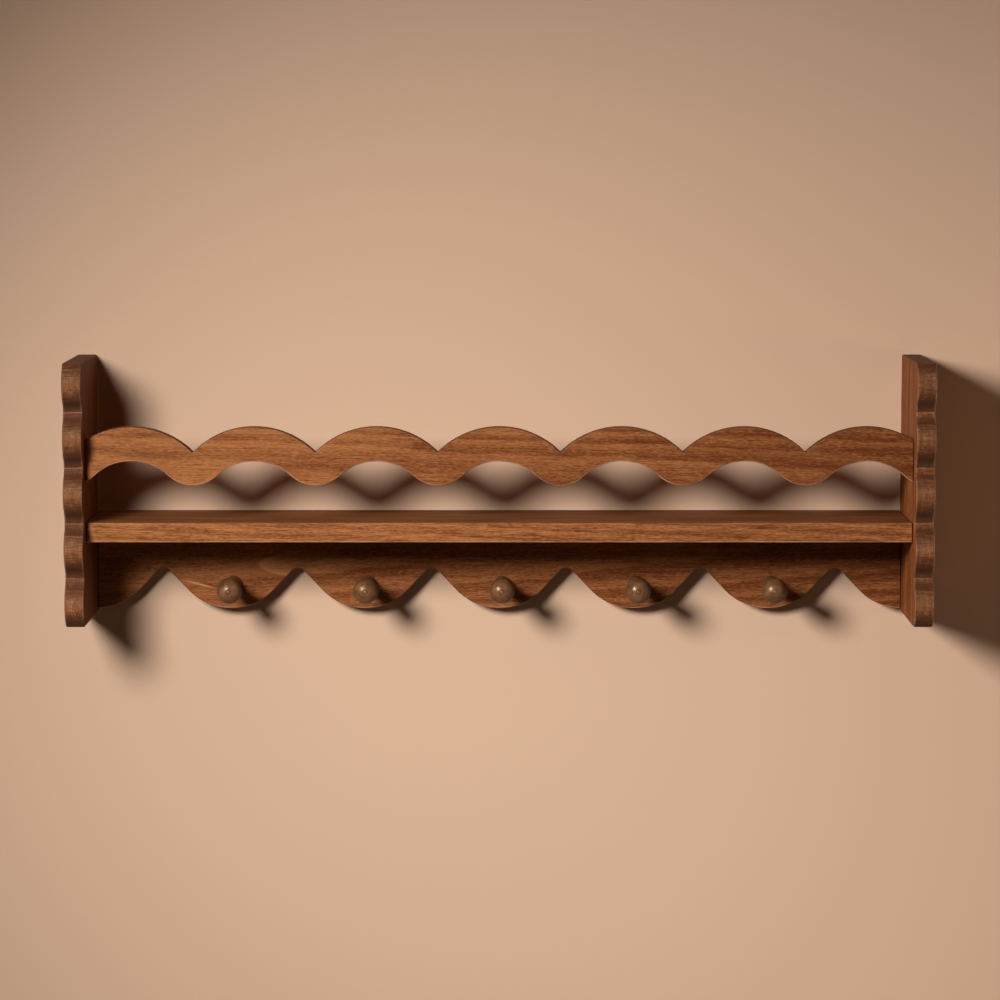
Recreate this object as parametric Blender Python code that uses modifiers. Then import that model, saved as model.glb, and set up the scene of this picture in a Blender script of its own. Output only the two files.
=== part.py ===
"""Wall plate rack in stained wood.

Two end panels with wavy front edges carry a shelf. A scalloped plate rail spans the
panels above the shelf's front edge, so that plates lean against the wall behind it. A
scalloped peg rail hangs under the shelf against the wall and holds a row of turned pegs.
Dowels join the boards, each peg has a tenon in a blind hole, and a keyhole plate is let
into the back edge of each end panel for the wall screws.

Metres, +Z up. The wall is the plane Y = 0 and the room is towards -Y. The origin is on the
wall face of the peg rail, midway between the end panels, at the height of the pegs.
"""

import math

import bmesh
import bpy
from mathutils import Matrix, Vector

# End panels
WIDTH = 0.914                # over both end panels
PANEL_HEIGHT = 0.279
PANEL_DEPTH = 0.143          # wall to the crests of the wavy edge
PANEL_THICKNESS = 0.0205
PANEL_WAVE_PITCH = 0.0583    # crest to crest
PANEL_WAVE_DEPTH = 0.0125    # crest to hollow
PANEL_HOLLOW_RADIUS = 0.012

# Shelf
SHELF_DEPTH = 0.118
SHELF_THICKNESS = 0.021
SHELF_HEIGHT = 0.1092        # foot of the end panels to the shelf's top

# Plate rail
PLATE_RAIL_THICKNESS = 0.015
PLATE_RAIL_HEIGHT = 0.062    # lowest dip to highest crest
PLATE_RAIL_LIFT = 0.0393     # shelf's top to the lowest dip
PLATE_RAIL_PITCH = 0.1292    # one lobe to the next
PLATE_RAIL_LOBE_RISE = 0.0268
PLATE_RAIL_ARCH_RISE = 0.0258
PLATE_RAIL_DIP_RADIUS = 0.037

# Peg rail
PEG_RAIL_THICKNESS = 0.0195
PEG_RAIL_HEIGHT = 0.0841     # shelf's underside to the lowest edge
PEG_RAIL_NOTCH_RISE = 0.0443  # lowest edge to the top of a notch
PEG_RAIL_NOTCH_RADIUS = 0.0085
PEG_RAIL_FLANK_ANGLE = math.radians(47)

# Pegs
PEG_PITCH = 0.1458           # one peg, and one lobe of the peg rail, to the next
PEG_OFFSET = 0.003           # each peg sits this far to the right of its lobe's centre
PEG_ABOVE_EDGE = 0.0273      # lowest edge of the peg rail to the peg's axis
PEG_LENGTH = 0.072           # rail face to the tip
PEG_BASE_DIAMETER = 0.0172
PEG_NECK_DIAMETER = 0.0146
PEG_HEAD_DIAMETER = 0.027
PEG_NECK_SET = 0.016         # rail face to the neck
PEG_DOME_LENGTH = 0.0125     # widest part of the head to the tip
PEG_TENON_DIAMETER = 0.012
PEG_HOLE_FLOOR = 0.004       # wood left behind each peg hole

# Dowels
SHELF_DOWEL_DIAMETER = 0.008
SHELF_DOWEL_INSET = 0.022    # shelf's front and back edges to the outer dowels
SHELF_DOWEL_COUNT = 3
PLATE_RAIL_DOWEL_DIAMETER = 0.006
PLATE_RAIL_DOWEL_SPACING = 0.0125
PEG_RAIL_DOWEL_DIAMETER = 0.008
PEG_RAIL_DOWEL_SPACING = 0.026
DOWEL_REACH = 0.018          # into the end of a board
DOWEL_CHAMFER = 0.0008
PANEL_SKIN = 0.0085          # wood left outside the dowel holes of an end panel

# Keyhole plates and their screws
KEYHOLE_PLATE_LENGTH = 0.044
KEYHOLE_PLATE_THICKNESS = 0.002
KEYHOLE_PLATE_MARGIN = 0.0025  # wood left beside the plate
KEYHOLE_PLATE_DROP = 0.045   # top of the end panel to the plate's centre
KEYHOLE_HEAD_DIAMETER = 0.009
KEYHOLE_SLOT_WIDTH = 0.0048
KEYHOLE_TRAVEL = 0.0095      # centre of the round hole to the top of the slot's centre
KEYHOLE_POCKET_DEPTH = 0.011
KEYHOLE_POCKET_MARGIN = 0.0008
SCREW_HEAD_DIAMETER = 0.006
SCREW_SHANK_DIAMETER = 0.003
SCREW_LENGTH = 0.016
SCREW_POINT_LENGTH = 0.003
SCREW_INSET = 0.005          # end of the plate to its screw

# Fits and edges
GAP = 0.0003                 # between pieces that touch or fit
HOLE_END_GAP = 0.001         # left beyond the end of a dowel, tenon or screw
EDGE_EASE = 0.0012           # sanded arrises
CUT_OVERRUN = 0.003          # how far a cutter stands out of the face it cuts
CHORD_ERROR = 0.00015        # most that a straight side may cut off a round edge
SHORTEST_SIDE = 0.003        # of an outline, next to a board's end
WELD = 0.000001              # points nearer than this are one point
FLAT_ANGLE = math.radians(0.5)  # faces that meet at less than this are one face
PEG_SIDES = 20
HOLE_SIDES = 16
SCREW_SIDES = 12

# Places that follow from the sizes above
PANEL_INNER_X = WIDTH / 2 - PANEL_THICKNESS
PANEL_MIDDLE_X = WIDTH / 2 - PANEL_THICKNESS / 2
BOARD_HALF = PANEL_INNER_X - GAP
PEG_RAIL_BOTTOM = -PEG_ABOVE_EDGE
PEG_RAIL_TOP = PEG_RAIL_BOTTOM + PEG_RAIL_HEIGHT
SHELF_BOTTOM = PEG_RAIL_TOP + GAP
SHELF_TOP = SHELF_BOTTOM + SHELF_THICKNESS
PANEL_FOOT = SHELF_TOP - SHELF_HEIGHT
PANEL_TOP = PANEL_FOOT + PANEL_HEIGHT
PANEL_MIDDLE_Z = PANEL_FOOT + PANEL_HEIGHT / 2
PLATE_RAIL_BOTTOM = SHELF_TOP + PLATE_RAIL_LIFT
PLATE_RAIL_CREST = PLATE_RAIL_BOTTOM + PLATE_RAIL_HEIGHT
PLATE_RAIL_MIDDLE_Y = PLATE_RAIL_THICKNESS / 2 - SHELF_DEPTH
KEYHOLE_PLATE_WIDTH = PANEL_THICKNESS - 2 * KEYHOLE_PLATE_MARGIN
KEYHOLE_PLATE_Z = PANEL_TOP - KEYHOLE_PLATE_DROP

# How a piece's own Z axis, or its outline, is turned in the rack
Z_TO_RIGHT = Matrix.Rotation(math.pi / 2, 4, "Y")
Z_TO_ROOM = Matrix.Rotation(math.pi / 2, 4, "X")
Z_TO_WALL = Matrix.Rotation(-math.pi / 2, 4, "X")
OUTLINE_SIDEWAYS = Matrix.Rotation(math.pi / 2, 4, "Z") @ Z_TO_ROOM

SIDES = {"left": -1, "right": 1}


# Scene and materials

def clear_scene():
    for obj in list(bpy.data.objects):
        bpy.data.objects.remove(obj, do_unlink=True)


def new_collection(name):
    collection = bpy.data.collections.new(name)
    bpy.context.scene.collection.children.link(collection)
    return collection


def linear_colour(hex_colour):
    """sRGB hex to the linear RGBA that a shader socket takes."""
    channels = [int(hex_colour[i : i + 2], 16) / 255 for i in (1, 3, 5)]
    curved = [c / 12.92 if c <= 0.04045 else ((c + 0.055) / 1.055) ** 2.4 for c in channels]
    return (*curved, 1.0)


def new_material(name, hex_colour, roughness, metallic=0.0):
    material = bpy.data.materials.new(name)
    material.use_nodes = True
    shader = material.node_tree.nodes["Principled BSDF"]
    shader.inputs["Base Color"].default_value = linear_colour(hex_colour)
    shader.inputs["Roughness"].default_value = roughness
    shader.inputs["Metallic"].default_value = metallic
    material.diffuse_color = linear_colour(hex_colour)
    return material


clear_scene()
PARTS = new_collection("wall_plate_rack")
CUTTERS = new_collection("cutters")
ROOT = bpy.data.objects.new("wall_plate_rack_origin", None)
PARTS.objects.link(ROOT)
BOARD_WOOD = new_material("walnut_stained_pine", "#8a5533", 0.45)
PEG_WOOD = new_material("dark_waxed_peg_wood", "#6f4d38", 0.32)
DOWEL_WOOD = new_material("bare_beech", "#c9a27a", 0.6)
STEEL = new_material("zinc_plated_steel", "#a9abab", 0.35, 1.0)


# Building blocks

def add_part(name, mesh, material, place):
    """One sub-part, placed under the rack's origin."""
    part = bpy.data.objects.new(name, mesh)
    mesh.materials.append(material)
    PARTS.objects.link(part)
    part.parent = ROOT
    part.matrix_world = place
    return part


def add_cutter(name, mesh, place):
    cutter = bpy.data.objects.new(name, mesh)
    CUTTERS.objects.link(cutter)
    cutter.matrix_world = place
    cutter.hide_render = True
    cutter.display_type = "WIRE"
    return cutter


def cut(part, cutter):
    boolean = part.modifiers.new(cutter.name, "BOOLEAN")
    boolean.operation = "DIFFERENCE"
    boolean.solver = "EXACT"
    boolean.object = cutter


def outline_mesh(name, loops, thickness):
    """A flat outline, with any holes as further loops, as a closed mesh centred on z = 0."""
    curve = bpy.data.curves.new(name, "CURVE")
    curve.dimensions = "2D"
    curve.fill_mode = "BOTH"
    curve.extrude = thickness / 2
    for points in loops:
        spline = curve.splines.new("POLY")
        spline.points.add(len(points) - 1)
        for corner, (x, y) in zip(spline.points, points):
            corner.co = (x, y, 0.0, 1.0)
        spline.use_cyclic_u = True
    guide = bpy.data.objects.new(name + "_outline", curve)
    CUTTERS.objects.link(guide)
    graph = bpy.context.evaluated_depsgraph_get()
    mesh = bpy.data.meshes.new_from_object(guide.evaluated_get(graph))
    mesh.name = name
    bpy.data.objects.remove(guide, do_unlink=True)
    bm = bmesh.new()
    bm.from_mesh(mesh)
    bmesh.ops.remove_doubles(bm, verts=bm.verts, dist=WELD)
    bmesh.ops.dissolve_limit(bm, angle_limit=FLAT_ANGLE, verts=bm.verts, edges=bm.edges)
    if len(loops) == 1:
        inner = [edge for edge in bm.edges if inside_flat_side(edge)]
        bmesh.ops.dissolve_edges(bm, edges=inner, use_verts=False)
    bmesh.ops.recalc_face_normals(bm, faces=bm.faces)
    bm.to_mesh(mesh)
    bm.free()
    return mesh


def inside_flat_side(edge):
    """Whether the faces on both sides of an edge lie in one flat side of a board."""
    heights = [corner.co.z for face in edge.link_faces for corner in face.verts]
    return max(heights) - min(heights) < WELD


def ease_edges(part):
    """Sanded arrises along the two faces of a flat board, by bevel weight."""
    bm = bmesh.new()
    bm.from_mesh(part.data)
    weight = bm.edges.layers.float.new("bevel_weight_edge")
    for edge in bm.edges:
        flat = [abs(face.normal.z) > 0.5 for face in edge.link_faces]
        edge[weight] = 1.0 if any(flat) and not all(flat) else 0.0
    bm.to_mesh(part.data)
    bm.free()
    bevel = part.modifiers.new("eased edges", "BEVEL")
    bevel.limit_method = "WEIGHT"
    bevel.width = EDGE_EASE
    bevel.segments = 1


def profile_mesh(name, profile):
    """The outer side of a turned shape, as (radius, z) from top to bottom."""
    mesh = bpy.data.meshes.new(name)
    bm = bmesh.new()
    corners = [bm.verts.new((radius, 0.0, z)) for radius, z in profile]
    for upper, lower in zip(corners, corners[1:]):
        bm.edges.new((upper, lower))
    bm.to_mesh(mesh)
    bm.free()
    return mesh


def turn(piece, sides):
    """Turns a piece's profile about its own Z axis."""
    screw = piece.modifiers.new("turned", "SCREW")
    screw.axis = "Z"
    screw.steps = sides
    screw.render_steps = sides
    screw.use_merge_vertices = True
    screw.merge_threshold = WELD
    screw.use_smooth_shade = True


def holes_mesh(name, holes, sides):
    """Round cutters as one mesh: each hole is its middle, its direction's matrix, radius and length."""
    mesh = bpy.data.meshes.new(name)
    bm = bmesh.new()
    for middle, direction, radius, length in holes:
        bmesh.ops.create_cone(
            bm,
            cap_ends=True,
            segments=sides,
            radius1=radius,
            radius2=radius,
            depth=length,
            matrix=Matrix.Translation(middle) @ direction,
        )
    bm.to_mesh(mesh)
    bm.free()
    return mesh


# Wavy edges

def arc_angles(radius, start, end):
    """Angles from start to end, close enough for straight sides to follow the arc."""
    widest_step = 2 * math.acos(1 - CHORD_ERROR / radius)
    steps = math.ceil(abs(end - start) / widest_step)
    return [start + (end - start) * i / steps for i in range(steps + 1)]


def tangent_wave(pitch, rise, tip_radius, flank_angle):
    """Half a wave: a round lobe, a straight flank and a round tip, all tangent.

    Gives the height above the lobe's crest line at a distance from the lobe's centre, and the
    distances that its corners need.
    """
    half = pitch / 2
    both_radii = (half * math.tan(flank_angle) - rise) / (1 / math.cos(flank_angle) - 1)
    lobe_radius = both_radii - tip_radius
    lobe_end = lobe_radius * math.sin(flank_angle)
    tip_start = half - tip_radius * math.sin(flank_angle)
    lobe_rise = lobe_radius * (1 - math.cos(flank_angle))

    def height(distance):
        if distance < lobe_end:
            return lobe_radius - math.sqrt(lobe_radius**2 - distance**2)
        if distance > tip_start:
            return rise - tip_radius + math.sqrt(tip_radius**2 - (half - distance) ** 2)
        return lobe_rise + (distance - lobe_end) * math.tan(flank_angle)

    corners = [lobe_radius * math.sin(a) for a in arc_angles(lobe_radius, 0.0, flank_angle)]
    corners += [half - tip_radius * math.sin(a) for a in arc_angles(tip_radius, flank_angle, 0.0)]
    return height, corners


def round_wave(pitch, rise, tip_radius):
    """A tangent wave of two arcs, with no straight flank."""
    return tangent_wave(pitch, rise, tip_radius, 2 * math.atan(2 * rise / pitch))


def arc_lobe(pitch, rise):
    """Half of one round lobe that meets the next in a sharp corner."""
    half = pitch / 2
    radius = (half**2 + rise**2) / (2 * rise)

    def height(distance):
        return radius - math.sqrt(radius**2 - distance**2)

    return height, [radius * math.sin(a) for a in arc_angles(radius, 0.0, math.asin(half / radius))]


def along_edge(wave, pitch, half_length):
    """(place, height) along an edge of repeated lobes, one of them centred, from end to end."""
    height, corners = wave
    reach = math.ceil(half_length / pitch)
    places = {-half_length, half_length}
    for lobe in range(-reach, reach + 1):
        for distance in corners:
            places.add(lobe * pitch + distance)
            places.add(lobe * pitch - distance)
    kept = []
    for place in sorted(places):
        at_end = abs(place) == half_length
        if not at_end and abs(place) > half_length - SHORTEST_SIDE:
            continue
        if kept and not at_end and place - kept[-1] < WELD:
            continue
        kept.append(place)
    return [(place, height(from_lobe(place, pitch))) for place in kept]


def from_lobe(place, pitch):
    """Distance from the nearest lobe's centre."""
    return abs(place - pitch * round(place / pitch))


PANEL_WAVE = round_wave(PANEL_WAVE_PITCH, PANEL_WAVE_DEPTH, PANEL_HOLLOW_RADIUS)
PLATE_RAIL_TOP_WAVE = arc_lobe(PLATE_RAIL_PITCH, PLATE_RAIL_LOBE_RISE)
PLATE_RAIL_LOW_WAVE = round_wave(PLATE_RAIL_PITCH, PLATE_RAIL_ARCH_RISE, PLATE_RAIL_DIP_RADIUS)
PEG_RAIL_WAVE = tangent_wave(
    PEG_PITCH, PEG_RAIL_NOTCH_RISE, PEG_RAIL_NOTCH_RADIUS, PEG_RAIL_FLANK_ANGLE
)


def plate_rail_top(x):
    return PLATE_RAIL_CREST - PLATE_RAIL_TOP_WAVE[0](from_lobe(x, PLATE_RAIL_PITCH))


def plate_rail_low(x):
    arch_top = PLATE_RAIL_BOTTOM + PLATE_RAIL_ARCH_RISE
    return arch_top - PLATE_RAIL_LOW_WAVE[0](from_lobe(x, PLATE_RAIL_PITCH))


def peg_rail_low(x):
    return PEG_RAIL_BOTTOM + PEG_RAIL_WAVE[0](from_lobe(x, PEG_PITCH))


# Boards

def make_end_panel(side):
    edge = along_edge(PANEL_WAVE, PANEL_WAVE_PITCH, PANEL_HEIGHT / 2)
    outline = [(0.0, PANEL_HEIGHT / 2), (0.0, -PANEL_HEIGHT / 2)]
    outline += [(hollow - PANEL_DEPTH, place) for place, hollow in edge]
    name = side + "_end_panel"
    mesh = outline_mesh(name, [outline], PANEL_THICKNESS)
    middle = Vector((SIDES[side] * PANEL_MIDDLE_X, 0.0, PANEL_MIDDLE_Z))
    panel = add_part(name, mesh, BOARD_WOOD, Matrix.Translation(middle) @ OUTLINE_SIDEWAYS)
    ease_edges(panel)
    return panel


def make_shelf():
    mesh = bpy.data.meshes.new("shelf_board")
    bm = bmesh.new()
    bmesh.ops.create_cube(bm, size=1.0)
    bmesh.ops.scale(bm, vec=(2 * BOARD_HALF, SHELF_DEPTH, SHELF_THICKNESS), verts=bm.verts)
    bm.to_mesh(mesh)
    bm.free()
    middle = Vector((0.0, -SHELF_DEPTH / 2, SHELF_BOTTOM + SHELF_THICKNESS / 2))
    shelf = add_part("shelf_board", mesh, BOARD_WOOD, Matrix.Translation(middle))
    bevel = shelf.modifiers.new("eased edges", "BEVEL")
    bevel.width = EDGE_EASE
    bevel.segments = 1
    return shelf


def make_plate_rail():
    upper = along_edge(PLATE_RAIL_TOP_WAVE, PLATE_RAIL_PITCH, BOARD_HALF)
    lower = along_edge(PLATE_RAIL_LOW_WAVE, PLATE_RAIL_PITCH, BOARD_HALF)
    outline = [(x, plate_rail_low(x)) for x, _ in lower]
    outline += [(x, plate_rail_top(x)) for x, _ in reversed(upper)]
    mesh = outline_mesh("plate_rail", [outline], PLATE_RAIL_THICKNESS)
    middle = Vector((0.0, PLATE_RAIL_MIDDLE_Y, 0.0))
    rail = add_part("plate_rail", mesh, BOARD_WOOD, Matrix.Translation(middle) @ Z_TO_ROOM)
    ease_edges(rail)
    return rail


def make_peg_rail():
    lower = along_edge(PEG_RAIL_WAVE, PEG_PITCH, BOARD_HALF)
    outline = [(x, peg_rail_low(x)) for x, _ in lower]
    outline += [(BOARD_HALF, PEG_RAIL_TOP), (-BOARD_HALF, PEG_RAIL_TOP)]
    mesh = outline_mesh("peg_rail", [outline], PEG_RAIL_THICKNESS)
    middle = Vector((0.0, -PEG_RAIL_THICKNESS / 2, 0.0))
    rail = add_part("peg_rail", mesh, BOARD_WOOD, Matrix.Translation(middle) @ Z_TO_ROOM)
    ease_edges(rail)
    return rail


# Dowels

def clear_band(low, high):
    """Middle height of the wood that a dowel can use at the end of a board with wavy edges."""
    hole_end = BOARD_HALF - DOWEL_REACH - HOLE_END_GAP
    places = [BOARD_HALF + (hole_end - BOARD_HALF) * i / 8 for i in range(9)]
    return (max(low(x) for x in places) + min(high(x) for x in places)) / 2


def dowel_places():
    """(row, number, y, z, diameter) of the dowels in one end of the rack."""
    front = SHELF_DOWEL_INSET - SHELF_DEPTH
    back = -SHELF_DOWEL_INSET
    for i in range(SHELF_DOWEL_COUNT):
        y = front + (back - front) * i / (SHELF_DOWEL_COUNT - 1)
        yield "shelf", i + 1, y, SHELF_BOTTOM + SHELF_THICKNESS / 2, SHELF_DOWEL_DIAMETER
    middle = clear_band(plate_rail_low, plate_rail_top)
    for i, step in enumerate((-0.5, 0.5)):
        z = middle + step * PLATE_RAIL_DOWEL_SPACING
        yield "plate_rail", i + 1, PLATE_RAIL_MIDDLE_Y, z, PLATE_RAIL_DOWEL_DIAMETER
    middle = clear_band(peg_rail_low, lambda x: PEG_RAIL_TOP)
    for i, step in enumerate((-0.5, 0.5)):
        z = middle + step * PEG_RAIL_DOWEL_SPACING
        yield "peg_rail", i + 1, -PEG_RAIL_THICKNESS / 2, z, PEG_RAIL_DOWEL_DIAMETER


def make_dowels(panels, boards):
    """Every dowel, with its hole through the joint in the end panel and in the board."""
    inner_end = BOARD_HALF - DOWEL_REACH
    outer_end = WIDTH / 2 - PANEL_SKIN
    length = outer_end - inner_end
    holes = {board: [] for board in boards}
    for side, sign in SIDES.items():
        panel_holes = []
        for row, number, y, z, diameter in dowel_places():
            radius = diameter / 2
            middle = Vector((sign * (inner_end + outer_end) / 2, y, z))
            profile = [
                (0.0, length / 2),
                (radius - DOWEL_CHAMFER, length / 2),
                (radius, length / 2 - DOWEL_CHAMFER),
                (radius, DOWEL_CHAMFER - length / 2),
                (radius - DOWEL_CHAMFER, -length / 2),
                (0.0, -length / 2),
            ]
            name = f"{row}_dowel_{side}_{number}"
            place = Matrix.Translation(middle) @ Z_TO_RIGHT
            turn(add_part(name, profile_mesh(name, profile), DOWEL_WOOD, place), HOLE_SIDES)
            hole = (middle, Z_TO_RIGHT, radius + GAP, length + 2 * HOLE_END_GAP)
            panel_holes.append(hole)
            holes[row].append(hole)
        name = side + "_panel_dowel_holes"
        cut(panels[side], add_cutter(name, holes_mesh(name, panel_holes, HOLE_SIDES), Matrix()))
    for row, board in boards.items():
        name = row + "_dowel_holes"
        cut(board, add_cutter(name, holes_mesh(name, holes[row], HOLE_SIDES), Matrix()))


# Pegs

def smooth_step(t):
    return t * t * (3 - 2 * t)


def peg_profile():
    """Tip to tenon end: a domed head, a swelling neck, a square shoulder and a plain tenon."""
    head = PEG_HEAD_DIAMETER / 2
    neck = PEG_NECK_DIAMETER / 2
    base = PEG_BASE_DIAMETER / 2
    tenon = PEG_TENON_DIAMETER / 2
    widest = PEG_LENGTH - PEG_DOME_LENGTH
    profile = []
    for i in range(6):
        angle = math.pi / 2 * i / 6
        profile.append((head * math.sin(angle), widest + PEG_DOME_LENGTH * math.cos(angle)))
    for i in range(9):
        t = i / 8
        profile.append((head + (neck - head) * smooth_step(t), widest + (PEG_NECK_SET - widest) * t))
    for i in range(1, 4):
        t = i / 3
        profile.append((neck + (base - neck) * smooth_step(t), PEG_NECK_SET + (GAP - PEG_NECK_SET) * t))
    tenon_end = PEG_HOLE_FLOOR + HOLE_END_GAP - PEG_RAIL_THICKNESS
    profile += [(tenon, GAP), (tenon, tenon_end), (0.0, tenon_end)]
    return profile


def peg_places():
    last = math.floor((BOARD_HALF - PEG_BASE_DIAMETER) / PEG_PITCH)
    return [lobe * PEG_PITCH + PEG_OFFSET for lobe in range(-last, last + 1)]


def make_pegs(peg_rail):
    hole_length = PEG_RAIL_THICKNESS - PEG_HOLE_FLOOR + CUT_OVERRUN
    hole_middle = -(PEG_RAIL_THICKNESS + PEG_HOLE_FLOOR + CUT_OVERRUN) / 2
    holes = []
    for i, x in enumerate(peg_places()):
        name = f"peg_{i + 1}"
        place = Matrix.Translation((x, -PEG_RAIL_THICKNESS, 0.0)) @ Z_TO_ROOM
        turn(add_part(name, profile_mesh(name, peg_profile()), PEG_WOOD, place), PEG_SIDES)
        middle = Vector((x, hole_middle, 0.0))
        holes.append((middle, Z_TO_ROOM, PEG_TENON_DIAMETER / 2 + GAP, hole_length))
    mesh = holes_mesh("peg_holes", holes, PEG_SIDES)
    cut(peg_rail, add_cutter("peg_holes", mesh, Matrix()))


# Keyhole plates

def arc_points(centre, radius, start, end):
    x, y = centre
    angles = arc_angles(radius, start, end)
    return [(x + radius * math.cos(a), y + radius * math.sin(a)) for a in angles]


def slot_outline(width, length):
    """An upright slot with round ends, its overall length given, centred on the origin."""
    centre = length / 2 - width / 2
    top = arc_points((0.0, centre), width / 2, 0.0, math.pi)
    return top + arc_points((0.0, -centre), width / 2, math.pi, 2 * math.pi)


def keyhole_outline():
    """The round hole below and the narrow slot above it, about the plate's centre."""
    head = KEYHOLE_HEAD_DIAMETER / 2
    half_slot = KEYHOLE_SLOT_WIDTH / 2
    low = (0.0, -KEYHOLE_TRAVEL / 2)
    high = (0.0, KEYHOLE_TRAVEL / 2)
    mouth = math.acos(half_slot / head)
    return arc_points(low, head, math.pi - mouth, 2 * math.pi + mouth) + arc_points(
        high, half_slot, 0.0, math.pi
    )


def screw_profile(clearance):
    """A countersunk screw, head up with its top at z = 0, swollen by a clearance."""
    head = SCREW_HEAD_DIAMETER / 2 + clearance
    shank = SCREW_SHANK_DIAMETER / 2 + clearance
    bottom = -SCREW_LENGTH - clearance
    top = CUT_OVERRUN if clearance else -GAP
    profile = [(0.0, top), (head, top)]
    if clearance:
        profile.append((head, -GAP))
    profile += [
        (shank, -GAP - (head - shank)),
        (shank, bottom + SCREW_POINT_LENGTH),
        (0.0, bottom),
    ]
    return profile


def make_keyhole_plate(side, panel):
    """A plate flush in the panel's back edge, its two screws, and the pocket for a wall screw's head."""
    middle = Vector((SIDES[side] * PANEL_MIDDLE_X, 0.0, KEYHOLE_PLATE_Z))
    width = KEYHOLE_PLATE_WIDTH
    length = KEYHOLE_PLATE_LENGTH
    name = side + "_keyhole_plate"
    mesh = outline_mesh(name, [slot_outline(width, length), keyhole_outline()], KEYHOLE_PLATE_THICKNESS)
    set_in = Vector((0.0, -KEYHOLE_PLATE_THICKNESS / 2, 0.0))
    plate = add_part(name, mesh, STEEL, Matrix.Translation(middle + set_in) @ Z_TO_ROOM)

    recess_depth = KEYHOLE_PLATE_THICKNESS + GAP
    pocket_width = KEYHOLE_HEAD_DIAMETER + 2 * KEYHOLE_POCKET_MARGIN
    cuts = {
        "recess": (slot_outline(width + 2 * GAP, length + 2 * GAP), recess_depth),
        "pocket": (slot_outline(pocket_width, pocket_width + KEYHOLE_TRAVEL), KEYHOLE_POCKET_DEPTH),
    }
    for what, (outline, depth) in cuts.items():
        cutter_name = f"{side}_keyhole_{what}"
        mesh = outline_mesh(cutter_name, [outline], depth + CUT_OVERRUN)
        place = Matrix.Translation(middle + Vector((0.0, (CUT_OVERRUN - depth) / 2, 0.0)))
        cut(panel, add_cutter(cutter_name, mesh, place @ Z_TO_ROOM))

    for number, way in enumerate((-1, 1), start=1):
        seat = middle + Vector((0.0, 0.0, way * (length / 2 - SCREW_INSET)))
        place = Matrix.Translation(seat) @ Z_TO_WALL
        name = f"keyhole_screw_{side}_{number}"
        turn(add_part(name, profile_mesh(name, screw_profile(0.0)), STEEL, place), SCREW_SIDES)
        hole = add_cutter(name + "_hole", profile_mesh(name + "_hole", screw_profile(GAP)), place)
        turn(hole, SCREW_SIDES)
        cut(plate, hole)
        cut(panel, hole)


def main():
    panels = {side: make_end_panel(side) for side in SIDES}
    boards = {"shelf": make_shelf(), "plate_rail": make_plate_rail(), "peg_rail": make_peg_rail()}
    make_dowels(panels, boards)
    make_pegs(boards["peg_rail"])
    for side, panel in panels.items():
        make_keyhole_plate(side, panel)
    bpy.context.view_layer.update()


main()
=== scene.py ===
"""Wall plate rack in stained pine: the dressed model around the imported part.

Each visible piece is made again as a finer mesh with its own finish, in the place of its CAD
node, and a plain studio stands round it. Metres, +Z up. The wall is the plane Y = 0 and the
room is towards -Y.
"""

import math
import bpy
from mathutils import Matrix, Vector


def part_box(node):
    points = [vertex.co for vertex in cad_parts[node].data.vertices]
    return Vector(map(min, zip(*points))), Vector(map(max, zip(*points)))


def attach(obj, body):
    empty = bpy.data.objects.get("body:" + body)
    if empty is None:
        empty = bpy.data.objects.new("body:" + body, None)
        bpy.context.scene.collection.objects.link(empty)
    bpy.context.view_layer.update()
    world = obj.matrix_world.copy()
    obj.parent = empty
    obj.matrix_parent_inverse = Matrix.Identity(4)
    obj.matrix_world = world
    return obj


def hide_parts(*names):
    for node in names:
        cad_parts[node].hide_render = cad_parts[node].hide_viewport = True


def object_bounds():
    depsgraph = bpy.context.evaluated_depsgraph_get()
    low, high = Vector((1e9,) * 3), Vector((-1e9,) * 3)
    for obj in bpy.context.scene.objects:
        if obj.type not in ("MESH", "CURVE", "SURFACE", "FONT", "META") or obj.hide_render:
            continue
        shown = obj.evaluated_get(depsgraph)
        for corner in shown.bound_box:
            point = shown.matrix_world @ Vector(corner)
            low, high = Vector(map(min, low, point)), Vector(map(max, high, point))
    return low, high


bl_info = {
    "name": "Wall Plate Rack",
    "version": (1, 0, 0),
    "blender": (4, 5, 0),
    "location": "3D View > Sidebar > Plate Rack",
    "description": "Wall plate rack with scalloped rails, turned pegs and hidden hangers",
    "category": "Object",
}

from collections import namedtuple
from functools import partial

import bmesh
import bpy
from bpy.props import FloatProperty, FloatVectorProperty, PointerProperty
from bpy.types import Operator, Panel, PropertyGroup
from mathutils import Matrix, Vector

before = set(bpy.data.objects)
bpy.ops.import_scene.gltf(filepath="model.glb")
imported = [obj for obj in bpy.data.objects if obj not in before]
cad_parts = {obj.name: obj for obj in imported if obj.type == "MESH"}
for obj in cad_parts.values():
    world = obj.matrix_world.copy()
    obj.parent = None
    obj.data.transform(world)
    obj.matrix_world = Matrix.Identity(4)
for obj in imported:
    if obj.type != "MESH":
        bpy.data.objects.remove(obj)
CAD_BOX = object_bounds()

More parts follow.
